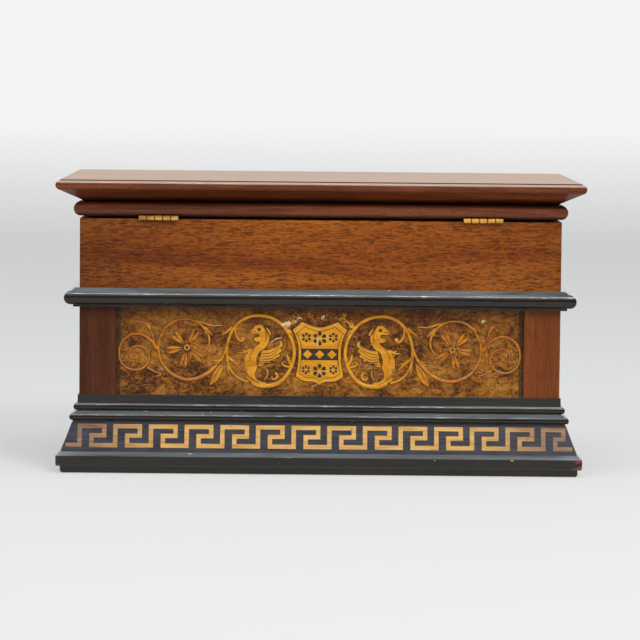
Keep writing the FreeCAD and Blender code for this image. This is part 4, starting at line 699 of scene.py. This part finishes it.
shield_middle = 25.5
shield_inset = 0.86
shield_edge_wide = 1.0
shield_line_wide = 0.35
band_corners = [(-11.6, 29.6, "sharp"), (-11.6, 22.4, "sharp"), (11.6, 22.4, "sharp"), (11.6, 29.6, "sharp")]
lozenges_at = (-7.6, 0.0, 7.6)
lozenge_height = 26.0
lozenge_half = (3.0, 2.8)
shield_flowers = (((0.0, 36.0), 4.6), ((-8.4, 36.6), 3.2), ((8.4, 36.6), 3.2), ((0.0, 15.6), 4.6),
                  ((-8.6, 16.4), 2.9), ((8.6, 16.4), 2.9))
# Where a flower's six petals point, then where each starts and half its width, as shares of its reach.
flower_turns = range(30, 390, 60)
flower_near = 0.25
flower_half = 0.27
dot_count = 34
dot_reach = 17.0
dot_heights = (47.6, 51.6)
dot_radii = (0.28, 0.5)


def mirrored(points):
    """The same points on the other half of the panel, from the end back, so that they still run round."""
    return [(-point[0], *point[1:]) for point in points[::-1]]


def add_line(curve, points, widths=(1.0,), closed=False):
    """Draw a smooth line through points; those marked sharp make corners. Widths are spread along it."""
    spline = curve.splines.new("BEZIER")
    spline.bezier_points.add(len(points) - 1)
    spline.use_cyclic_u = closed
    spline.resolution_u = 5
    for k, (spot, point) in enumerate(zip(spline.bezier_points, points)):
        spot.co = (point[0] * MM, point[1] * MM, 0)
        step = k / (len(points) - 1) * (len(widths) - 1)
        low = int(step)
        high = min(low + 1, len(widths) - 1)
        spot.radius = widths[low] + (widths[high] - widths[low]) * (step - low)
    for spot, point in zip(spline.bezier_points, points):
        spot.handle_left_type = "VECTOR" if len(point) > 2 else "AUTO"
        spot.handle_right_type = spot.handle_left_type


def ribbon(name, lines, half_thick, lift=0.0):
    """Flat strips along lines, each given by its points, its widths and whether it is closed."""
    curve = drawing(name)
    for line in lines:
        add_line(curve, *line)
    nib = drawing("nib")
    nib.fill_mode = "NONE"
    add_straight(nib, ((-0.5, -0.1), (0.5, -0.1), (0.5, 0.1), (-0.5, 0.1)))
    nib_holder = placed("nib", nib)
    curve.fill_mode = "NONE"
    curve.bevel_mode = "OBJECT"
    curve.bevel_object = nib_holder
    curve.use_fill_caps = True
    piece = drawn_mesh(curve, name)
    bpy.data.objects.remove(nib_holder)
    for spot in piece.data.vertices:
        spot.co.z = math.copysign(half_thick * MM, spot.co.z) + lift * MM
    return piece


def joined(name, *made):
    """Join meshes into one piece."""
    deselect_all()
    for piece in made:
        piece.select_set(True)
    bpy.context.view_layer.objects.active = made[0]
    bpy.ops.object.join()
    made[0].name = name
    return made[0]


def stepped(piece, top):
    """Give each strip or plate its own top, a hair above the last, so that no two faces share a plane."""
    edit_all(piece)
    bpy.ops.mesh.separate(type="LOOSE")
    bpy.ops.object.mode_set(mode="OBJECT")
    strips = list(bpy.context.selected_objects)
    for k, strip in enumerate(strips):
        for spot in strip.data.vertices:
            spot.co.z = (top + top_step * k) * MM if spot.co.z > 0 else -top * MM
    return joined(piece.name, *strips)


def fretted(name, outlines, half_thick, lift=0.0):
    """Flat plates inside smooth outlines."""
    curve = drawing(name)
    for outline in outlines:
        add_line(curve, outline, closed=True)
    curve.fill_mode = "BOTH"
    curve.extrude = half_thick * MM
    piece = drawn_mesh(curve, name)
    for spot in piece.data.vertices:
        spot.co.z += lift * MM
    return piece


def add_other_half(piece):
    """Mirror the drawn half of a panel to the other side of its middle."""
    only(piece)
    mirror = piece.modifiers.new("other_half", "MIRROR")
    mirror.use_mirror_merge = False
    bpy.ops.object.modifier_apply(modifier=mirror.name)


def petals(middle, angles, near, far, half):
    """Slim lens-shaped petals about a middle."""
    shapes = []
    for angle in angles:
        way = Vector((math.cos(math.radians(angle)), math.sin(math.radians(angle))))
        across = Vector((-way.y, way.x)) * half
        foot = Vector(middle) + way * near
        belly = Vector(middle) + way * (near + (far - near) * petal_belly)
        tip = Vector(middle) + way * far
        shapes.append([(*foot, "sharp"), tuple(belly + across), (*tip, "sharp"), tuple(belly - across)])
    return shapes


def ring_of(middle, radius):
    """Four points of a circle."""
    quarters = [turn * math.pi / 2 for turn in range(4)]
    return [(middle[0] + radius * math.cos(turn), middle[1] + radius * math.sin(turn)) for turn in quarters]


def rosette_shapes(middle):
    """Five pairs of slim lobes."""
    angles = [angle + aside for angle in rosette_lobes for aside in (-rosette_split, rosette_split)]
    return petals(middle, angles, rosette_near, rosette_far, rosette_lobe_half)


def moved(points, aside):
    """The same points, shifted along the panel."""
    return [(point[0] + aside, *point[1:]) for point in points]


def boxwood_and_edges(panel, lines, plates):
    """Make a panel's boxwood, both strips and plates, and the ink that edges them."""
    edges = [(points, [width + ink_edge for width in widths]) for points, widths in lines]
    edges += [(outline, (ink_edge,), True) for outline in plates]
    strips = stepped(ribbon("gold_lines", lines, line_top), line_top)
    fretwork = stepped(fretted("gold_plates", plates, plate_top), plate_top)
    return joined(panel + "_inlay", strips, fretwork), ribbon(panel + "_inlay_ink", edges, ink_top)


def lay_on_panel(piece, turn, reach, finish):
    """Stand a flat piece against a panel's face and let it go with the case."""
    piece.matrix_world = (
        Matrix.Rotation(math.radians(turn), 4, "Z")
        @ Matrix.Translation((0, -reach, panel_foot))
        @ Matrix.Rotation(math.pi / 2, 4, "X"))
    settle(piece)
    give_finish(piece, finish)
    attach(piece, "case")


ornament_boxwood, _ = aged_boxwood(
    "ornament_boxwood", 0.2, ((70.0, 320.0, 320.0), 0.8), ((45.0, 45.0, 60.0), 0.8),
    fresh=[(0.32, (204, 130, 22)), (0.5, (224, 152, 32)), (0.68, (234, 170, 52))],
    aged=[(0.32, (164, 90, 18)), (0.5, (194, 116, 28)), (0.68, (210, 136, 42))],
    aged_from=(0.055, 0.115), pits=((420.0, 600.0, 600.0), 0.74, 0.5, (92, 52, 20)))

needle_ink = new_finish("needle_ink", Roughness=0.5)
ink_cloud = spots(along_grain(needle_ink, "ring"), (300.0, 300.0, 300.0), 3.0)
join_to(ramp(ink_cloud, (0.35, (34, 22, 14)), (0.7, (66, 42, 24))), "Base Color")

# The long panels, rear and front, carry the shield between two birds. One half is drawn and mirrored.
half_lines = [(end_spiral, spiral_widths), (rosette_ring, rosette_ring_widths),
              (bird_ring, bird_ring_widths)] + scroll_stems
half_plates = [bird_body, bird_ear, bird_wing, hanging_bud, top_bud] + rosette_shapes(rosette_middle)
half_plates += [ring_of(*spiral_knob), ring_of(*stem_knob), ring_of(rosette_middle, rosette_boss)]
needle_lines = [(feather, (needle_wide, needle_wide, needle_fine)) for feather in bird_feathers + [bud_vein]]
needle_lines += [(outline, (needle_wide,), True) for outline in (bird_wing, bird_ear)]
needle_dots = [ring_of(*bird_eye), ring_of(rosette_middle, rosette_eye)]
shield = [(0.0, 42.8)] + shield_side + [(0.0, 6.8, "sharp")] + mirrored(shield_side)
inner = [(shield_inset * point[0], shield_middle + shield_inset * (point[1] - shield_middle), *point[2:])
         for point in shield]
# The shield has a plain charge: a band of lozenges between two rows of six-petalled flowers.
charge = [band_corners]
for across in lozenges_at:
    lozenge = [(across - lozenge_half[0], lozenge_height), (across, lozenge_height - lozenge_half[1]),
               (across + lozenge_half[0], lozenge_height), (across, lozenge_height + lozenge_half[1])]
    charge.append([(*corner, "sharp") for corner in lozenge])
for place, size in shield_flowers:
    charge += petals(place, flower_turns, flower_near * size, size, flower_half * size)
# A scatter of dots fills the ground over the shield.
scatter = random.Random(5)
dots = []
for dot in range(dot_count):
    dot_middle = (scatter.uniform(-dot_reach, dot_reach), scatter.uniform(*dot_heights))
    dots.append(ring_of(dot_middle, scatter.uniform(*dot_radii)))
for panel, turn in (("rear", 0), ("front", 180)):
    boxwood, ink = boxwood_and_edges(panel, half_lines, half_plates)
    ink = joined(panel + "_inlay_ink", ink, ribbon("needle_lines", needle_lines, needle_half, needle_lift),
                 fretted("needle_dots", needle_dots, needle_half, needle_lift))
    add_other_half(boxwood)
    add_other_half(ink)
    shield_plates = stepped(fretted("shield_plates", [shield] + dots, plate_top), plate_top)
    boxwood = joined(panel + "_inlay", boxwood, shield_plates)
    shield_edge = ribbon("shield_edge", [(shield, (shield_edge_wide,), True)], ink_top)
    ink = joined(panel + "_inlay_ink", ink, shield_edge,
                 ribbon("shield_line", [(inner, (shield_line_wide,), True)], needle_half, needle_lift),
                 fretted("charge", charge, needle_half, needle_lift))
    lay_on_panel(boxwood, turn, long_panel_reach, ornament_boxwood)
    lay_on_panel(ink, turn, long_panel_reach, needle_ink)

# Chips in the polish of the rear panel show the pale ground under it.
chip_outlines = [
    [(-24.2, 44.4), (-22.6, 45.6), (-20.2, 46.4), (-18.0, 45.6), (-18.6, 44.2), (-21.4, 43.6)],
    [(0.8, 48.2), (1.6, 50.2), (2.6, 50.4), (2.2, 48.4)], [(-12.6, 48.4), (-12.0, 49.2), (-11.4, 48.6)],
    [(100.8, 47.4), (102.0, 48.6), (103.2, 47.8), (102.0, 46.8)]]
chip_scratches = [([(-17.4, 44.6), (-15.0, 46.6), (-12.6, 49.6)], (0.6, 0.4, 0.7)),
                  ([(-1.8, 37.2), (-1.3, 31.4)], (0.5, 0.9)),
                  ([(-30.6, 33.2), (-27.4, 35.4), (-24.0, 36.2)], (0.3, 0.6, 0.3))]
chip_ground = new_finish("chip_ground", Roughness=0.8)
chip_cloud = spots(along_grain(chip_ground, "x"), (500.0, 500.0, 500.0), 3.0)
chip_colour = ramp(chip_cloud, (0.35, (206, 176, 128)), (0.6, (236, 218, 188)))
join_to(chip_colour, "Base Color")
chips = joined("rear_chips", fretted("chip_shapes", chip_outlines, chip_top),
               ribbon("chip_lines", chip_scratches, chip_top))
lay_on_panel(chips, 0, long_panel_reach, chip_ground)

# The end panels have room for one rosette, with a spiral on each side of it.
centred_spiral = moved(end_spiral, -rosette_middle[0])
centred_ring = moved(rosette_ring[2:], -rosette_middle[0])
end_lines = [(centred_spiral, spiral_widths), (mirrored(centred_spiral)[::-1], spiral_widths),
             (centred_ring, end_ring_widths)]
for panel, turn in (("left", 90), ("right", 270)):
    boxwood, ink = boxwood_and_edges(panel, end_lines, rosette_shapes((0.0, rosette_middle[1])))
    lay_on_panel(boxwood, turn, end_panel_reach, ornament_boxwood)
    lay_on_panel(ink, turn, end_panel_reach, needle_ink)


# Corner posts: four upright angles of mahogany that frame the panels, glued over the carcass's
# corners. The two on the right as the hinges are seen have kept their red, and the others have gone dark.
gone_dark = (0.42, 0.44, 0.72, 1.0)
post_mahogany, post_colour = straight_wood(
    "post_mahogany", "z", [(98, 48, 20), (126, 66, 28), (146, 82, 38)], (70, 32, 15), 0.6, 0.42)
post_dark = sums("LESS_THAN", spread(post_mahogany)["X"], 0.0)
post_colour = blend(post_dark, post_colour, gone_dark, "MULTIPLY")
join_to(post_colour, "Base Color")
dress(post_mahogany, "corner_posts")


# Frieze: four boards of mahogany, mitred at the corners and glued over the carcass above the waist.
# The polish is thin, so the open pores show as short dark dashes.
end_shade_tint = (0.50, 0.47, 0.70, 1.0)
frieze_mahogany, frieze_colour = straight_wood(
    "frieze_mahogany", "ring", [(134, 64, 15), (166, 90, 23), (186, 110, 36)], (66, 30, 13), 0.72, 0.42,
    open_pores=0.47)
# Painted shade: the frieze is darkened towards its ends, most at the left.
frieze_x = spread(frieze_mahogany)["X"]
frieze_left = between(frieze_x, -0.03, -0.16)
frieze_right = times(between(frieze_x, 0.05, 0.15), 0.5)
frieze_end_shade = sums("MAXIMUM", frieze_left, frieze_right)
frieze_colour = blend(frieze_end_shade, frieze_colour, end_shade_tint, "MULTIPLY")
join_to(frieze_colour, "Base Color")
dress(frieze_mahogany, "frieze_boards")


# Lid: a broad mahogany board with a round nose, and under it mitred lengths of a splayed moulding and a
# round bead. It is older and redder than the frieze. Its top has faded in the light, and its pale tan is
# also a painted reflection.
lid_tones = [(66, 28, 12), (106, 50, 22), (138, 76, 38)]
lid_pores = (40, 19, 12)
lid_board, lid_colour = straight_wood("lid_board", "x", lid_tones, lid_pores, 0.6, 0.36, 0.5)
shader_of(lid_board).inputs["Specular IOR Level"].default_value = 0.0
# The sun has faded the flat of the board to tan, along its grain, and the paler tan there is also a painted
# reflection of the light on the polished top.
lid_up = facing_up(lid_board)
lid_streaks = spots(along_grain(lid_board, "x"), (5.0, 330.0, 330.0), 5.0, 0.3)
faded_and_sheen_tan = ramp(lid_streaks, (0.30, (158, 106, 60)), (0.70, (206, 156, 98)))
lid_faded_and_sheen = times(between(lid_up, 0.80, 0.98), 0.8)
lid_colour = blend(lid_faded_and_sheen, lid_colour, faded_and_sheen_tan)
# A pale band is painted on the round of its nose: a painted highlight.
nose_painted_highlight = times(between(lid_up, 0.35, 0.65), between(lid_up, 0.98, 0.88))
lid_colour = blend(times(nose_painted_highlight, 0.6), lid_colour, tone(206, 190, 176))
join_to(lid_colour, "Base Color")
dress(lid_board, "lid_top")
lid_moulding, moulding_colour = straight_wood("lid_moulding", "ring", lid_tones, lid_pores, 0.6, 0.36, 0.3)
# Painted shade darkens the crevices above and below the bead.
bead_low, bead_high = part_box("lid_bead")
bead_middle = (bead_low[2] + bead_high[2]) / 2
bead_half = (bead_high[2] - bead_low[2]) / 2
over_bead = sums("SUBTRACT", spread(lid_moulding)["Z"], bead_middle)
off_bead = unsigned(over_bead)
bead_painted_shade = times(between(off_bead, 0.45 * bead_half, 0.95 * bead_half),
                  between(off_bead, 1.9 * bead_half, 1.2 * bead_half))
moulding_colour = blend(times(bead_painted_shade, 0.85), moulding_colour, tone(30, 15, 9))
join_to(moulding_colour, "Base Color")
dress(lid_moulding, "lid_cove", "lid_bead")


# Hinges: two brass butts, each of five knuckles on a wire, let in flush at the rim and held by three
# countersunk screws in each leaf. The brass has gone brown and grey in the air.
hinge_x = 101.0
hinge_length = 25.0
knuckles = 5
knuckle_front = -80.8
hinge_screw_spread = 8.0
hinge_screw_y = -75.9
# Each screw head and its countersink: wide end, narrow end, length, and depth below the leaf's face.
hinge_screw_head = (1.9, 0.9, 0.7, 0.07)
hinge_screw_sink = (2.05, 1.0, 1.0, -0.02)
hinge_slot_wide = 0.6
hinge_slot_deep = 0.35
hinge_slot_long = 6.0
# The driver left each slot at its own angle, in radians by its screw and by its hinge.
turn_by_screw = 0.9
turn_by_hinge = 0.4
# The two leaves of a hinge lie face to face while the lid is shut.
leaf_rise = 0.8
case_leaf_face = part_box("frieze_boards")[1][2] + leaf_rise * MM
lid_leaf_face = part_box("lid_bead")[0][2] - leaf_rise * MM


def worked_metal(name, bright, dull, way, lines, gloss):
    """Metal with fine tool lines along one axis and clouds of duller metal."""
    finish = new_finish(name, Metallic=1.0)
    place = along_grain(finish, way)
    tool = spots(place, lines, 2.0)
    cloud = spots(place, (75.0, 75.0, 75.0), 5.0, 0.8)
    join_to(ramp(cloud, (0.42, bright), (0.68, dull)), "Base Color")
    sheen = plus(times(tool, 0.26), times(cloud, 0.2))
    join_to(plus(sheen, gloss - 0.2), "Roughness")
    raise_by(tool, 0.15, 0.00005)
    return finish


hinge_brass = worked_metal("hinge_brass", (242, 188, 92), (138, 106, 64), "x", (300.0, 700.0, 700.0), 0.34)
hinge_screw_brass = worked_metal(
    "hinge_screw_brass", (150, 108, 56), (96, 72, 44), "x", (600.0, 600.0, 600.0), 0.4)
# Dirt has settled in the joints between the knuckles.
hinge_axes = spread(hinge_brass)
hinge_end = (hinge_x - hinge_length / 2) * MM
from_end = sums("SUBTRACT", unsigned(hinge_axes["X"]), hinge_end)
knuckle_count = sums("DIVIDE", from_end, hinge_length / knuckles * MM)
at_joint = between(sums("PINGPONG", knuckle_count, 0.5), 0.12, 0.03)
on_knuckles = sums("LESS_THAN", hinge_axes["Y"], knuckle_front * MM)
in_joint = times(at_joint, on_knuckles)
hinge_colour = shader_of(hinge_brass).inputs["Base Color"].links[0].from_socket
join_to(blend(in_joint, hinge_colour, tone(112, 80, 38)), "Base Color")
dress(hinge_brass, "hinge_pins")


def round_bar(radius, far_radius, depth, place, sides=32):
    """A turned blank: a round bar or a cone that stands on end at a place."""
    deselect_all()
    bpy.ops.mesh.primitive_cone_add(
        vertices=sides, radius1=radius * MM, radius2=far_radius * MM, depth=depth * MM, location=place)
    settle(bpy.context.object)
    return bpy.context.object


def cut_away(piece, tool):
    """Cut a tool's shape out of a piece."""
    cut = piece.modifiers.new("cut", "BOOLEAN")
    cut.operation = "DIFFERENCE"
    cut.object = tool
    only(piece)
    bpy.ops.object.modifier_apply(modifier=cut.name)
    bpy.data.objects.remove(tool)


def saw_slot(head, place, turn, wide, deep, length):
    """Saw a driver's slot across a head, through the plane of its top."""
    deselect_all()
    bpy.ops.mesh.primitive_cube_add(size=1)
    saw = bpy.context.object
    saw.matrix_world = (Matrix.Translation(place) @ Matrix.Rotation(turn, 4, "Z")
                        @ Matrix.Diagonal((wide * MM, length * MM, 2 * deep * MM, 1)))
    settle(saw)
    cut_away(head, saw)


def sunk_cone(face, inward, wide, narrow, length, below):
    """A cone that points into a leaf, with its wide end a little below the face or above it."""
    ends = (wide, narrow) if inward > 0 else (narrow, wide)
    return round_bar(*ends, length, face + Vector((0, 0, inward * (below + length / 2) * MM)))


def hinge_leaves(name, node, body, face, inward):
    """The leaves of both hinges, each countersunk for three screws that finish flush with its face."""
    leaves = placed(name, nodes[node].data.copy())
    edit_all(leaves)
    bpy.ops.mesh.remove_doubles(threshold=1e-6)
    bpy.ops.object.mode_set(mode="OBJECT")
    screws = []
    for side in (-1, 1):
        for step in (-1, 0, 1):
            x = side * hinge_x + step * hinge_screw_spread
            middle = Vector((x * MM, hinge_screw_y * MM, face))
            cut_away(leaves, sunk_cone(middle, inward, *hinge_screw_sink))
            head = sunk_cone(middle, inward, *hinge_screw_head)
            head_top = middle + Vector((0, 0, inward * hinge_screw_head[3] * MM))
            turn = turn_by_screw * step + turn_by_hinge * side
            saw_slot(head, head_top, turn, hinge_slot_wide, hinge_slot_deep, hinge_slot_long)
            screws.append(head)
    give_finish(leaves, hinge_brass)
    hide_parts(node)
    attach(leaves, body)
    heads = joined(name + "_screws", *screws)
    give_finish(heads, hinge_screw_brass)
    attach(heads, body)


hinge_leaves("hinge_leaves_case", "hinge_case_leaves", "case", case_leaf_face, -1)
hinge_leaves("hinge_leaves_lid", "hinge_lid_leaves", "lid", lid_leaf_face, 1)


# Bedplate: a thick brass plate screwed to the soundboard, with cast bridges and cheeks that carry
# every arbor. The faces are filed and lacquered.
bed_brass = worked_metal("bed_brass", (170, 136, 82), (132, 104, 64), "x", (45.0, 1500.0, 1500.0), 0.46)
dress(bed_brass, "bedplate", "comb_base", "cylinder_bridge_left", "cylinder_bridge_right",
      "barrel_bridge_inner", "barrel_bridge_outer", "governor_frame", "governor_cock")


# Screws: turned steel with rounded, slotted heads, blued over a flame. They hold the bedplate, the
# bridges and the comb.
screw_round = 0.5
screw_reach = 5.6
head_tall = 1.8
head_turn = 2.4
head_hair = 0.01
head_smooth = math.radians(40)
slot_wide = 0.8
slot_deep = 0.8
slot_long = 9.0
blued_steel = worked_metal("blued_steel", (52, 62, 104), (40, 40, 52), "x", (500.0, 500.0, 500.0), 0.3)


def head_places(name):
    """Where the heads of a node's screws stand: the middle of each, its top and its radius."""
    groups = []
    for spot in nodes[name].data.vertices:
        flat = Vector((spot.co.x, spot.co.y))
        for group in groups:
            if (group[0] - flat).length < screw_reach * MM:
                group.append(flat)
                group.append(spot.co.z)
                break
        else:
            groups.append([flat, flat, spot.co.z])
    places = []
    for group in groups:
        flats = group[1::2]
        low = Vector((min(flat.x for flat in flats), min(flat.y for flat in flats)))
        high = Vector((max(flat.x for flat in flats), max(flat.y for flat in flats)))
        places.append((*((low + high) / 2), max(group[2::2]), (high.x - low.x) / 2))
    return places


def slotted_heads(name, node):
    """Slotted heads over the plain ones of a node, each turned as the driver left it."""
    made = []
    for k, (x, y, top, radius) in enumerate(head_places(node)):
        head = round_bar(radius / MM, radius / MM, head_tall, (0, 0, -head_tall / 2 * MM), 40)
        pick_edges(head, lambda middle: middle.z > -head_hair * MM)
        bpy.ops.mesh.bevel(offset=screw_round * MM, segments=3)
        bpy.ops.object.mode_set(mode="OBJECT")
        saw_slot(head, (0, 0, 0), 0, slot_wide, slot_deep, slot_long)
        head.matrix_world = Matrix.Translation((x, y, top)) @ Matrix.Rotation(head_turn * k, 4, "Z")
        settle(head)
        made.append(head)
    heads = joined(name, *made)
    bpy.ops.object.shade_smooth_by_angle(angle=head_smooth)
    give_finish(heads, blued_steel)
    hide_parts(node)
    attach(heads, "case")


for screws, node in (("bed_screw_heads", "bedplate_screws"), ("bridge_screw_heads", "bridge_screws"),
                     ("comb_screw_heads", "comb_screws")):
    slotted_heads(screws, node)


# Comb: one plate of hardened steel, sawn into teeth and ground on top. It is screwed to a brass base
# on the bedplate.
comb_steel = worked_metal("comb_steel", (128, 130, 134), (98, 100, 106), "y", (60.0, 2200.0, 2200.0), 0.46)
dress(comb_steel, "comb")


# Cylinder: a brass tube with a cap at each end, drilled and set with fine steel pins that pluck the
# comb. The pins are ground to one height and lie in a track for each tooth.
cylinder_brass = worked_metal(
    "cylinder_brass", (194, 160, 98), (158, 126, 74), "y", (40.0, 1800.0, 1800.0), 0.46)
dress(cylinder_brass, "cylinder_tube", "cylinder_end_caps")
bright_steel = worked_metal(
    "bright_steel", (140, 142, 146), (100, 100, 104), "x", (80.0, 1200.0, 1200.0), 0.38)
dress(bright_steel, "cylinder_pins", "cylinder_arbor", "cylinder_pinion")

tube_low, tube_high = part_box("cylinder_tube")
tube_axis = (tube_low + tube_high) / 2
tube_radius = (tube_high[2] - tube_low[2]) / 2
comb_tracks = 48
track_margin = 2.4
track_step = (tube_high[0] - tube_low[0] - 2 * track_margin * MM) / comb_tracks
pins_in_track = 22
pin_radius = 0.24
pin_tip_radius = 0.7 * pin_radius
pin_out = 0.9
pin_root = 0.3
beats = 120
tune_gap = 12
pin_place = (0, 0, tube_radius + (pin_out - pin_root) / 2 * MM)
tune_pin = round_bar(pin_radius, pin_tip_radius, pin_out + pin_root, pin_place, 6)
tune = random.Random(11)
pins = []
for track in range(comb_tracks):
    along = tube_low[0] + track_margin * MM + (track + 0.5) * track_step
    for note in range(pins_in_track):
        # The notes fall on the beats of the tune, and a gap is left where it starts again.
        angle = tune_gap + tune.randrange(beats) * (360 - tune_gap) / beats
        pin = placed("pin", tune_pin.data.copy())
        pin.data.transform(Matrix.Translation((along, tube_axis[1], tube_axis[2]))
                           @ Matrix.Rotation(math.radians(angle), 4, "X"))
        pins.append(pin)
bpy.data.objects.remove(tune_pin)
fine_pins = joined("tune_pins", *pins)
give_finish(fine_pins, bright_steel)
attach(fine_pins, "cylinder")


# Spring barrel: a brass drum with a toothed rim and a cap, with the blued mainspring coiled inside.
# Its wheel and the governor's are cut brass, polished on the faces.
wheel_brass = worked_metal("wheel_brass", (200, 162, 92), (160, 126, 72), "y", (70.0, 1500.0, 1500.0), 0.4)
dress(wheel_brass, "spring_barrel", "barrel_cap", "great_wheel", "first_wheel", "worm_wheel", "fly_fan")
spring_blue = worked_metal("spring_blue", (58, 66, 96), (46, 46, 56), "x", (80.0, 900.0, 900.0), 0.32)
dress(spring_blue, "mainspring")


# Winding work: a ratchet on the barrel's arbor, its click, and a long steel lever with a pawl and a
# turned wooden knob. Like the train's arbors and the endless screw it is bright steel.
dress(bright_steel, "barrel_arbor", "ratchet_wheel", "click", "winding_lever", "lever_pawl", "first_arbor",
      "second_arbor", "endless_screw", "stop_lever", "stop_lever_stud")
knob_wood, _ = straight_wood(
    "knob_wood", "z", [(38, 20, 14), (58, 30, 20), (78, 42, 28)], (26, 14, 10), 0.5, 0.3, 0.4)
dress(knob_wood, "lever_knob")
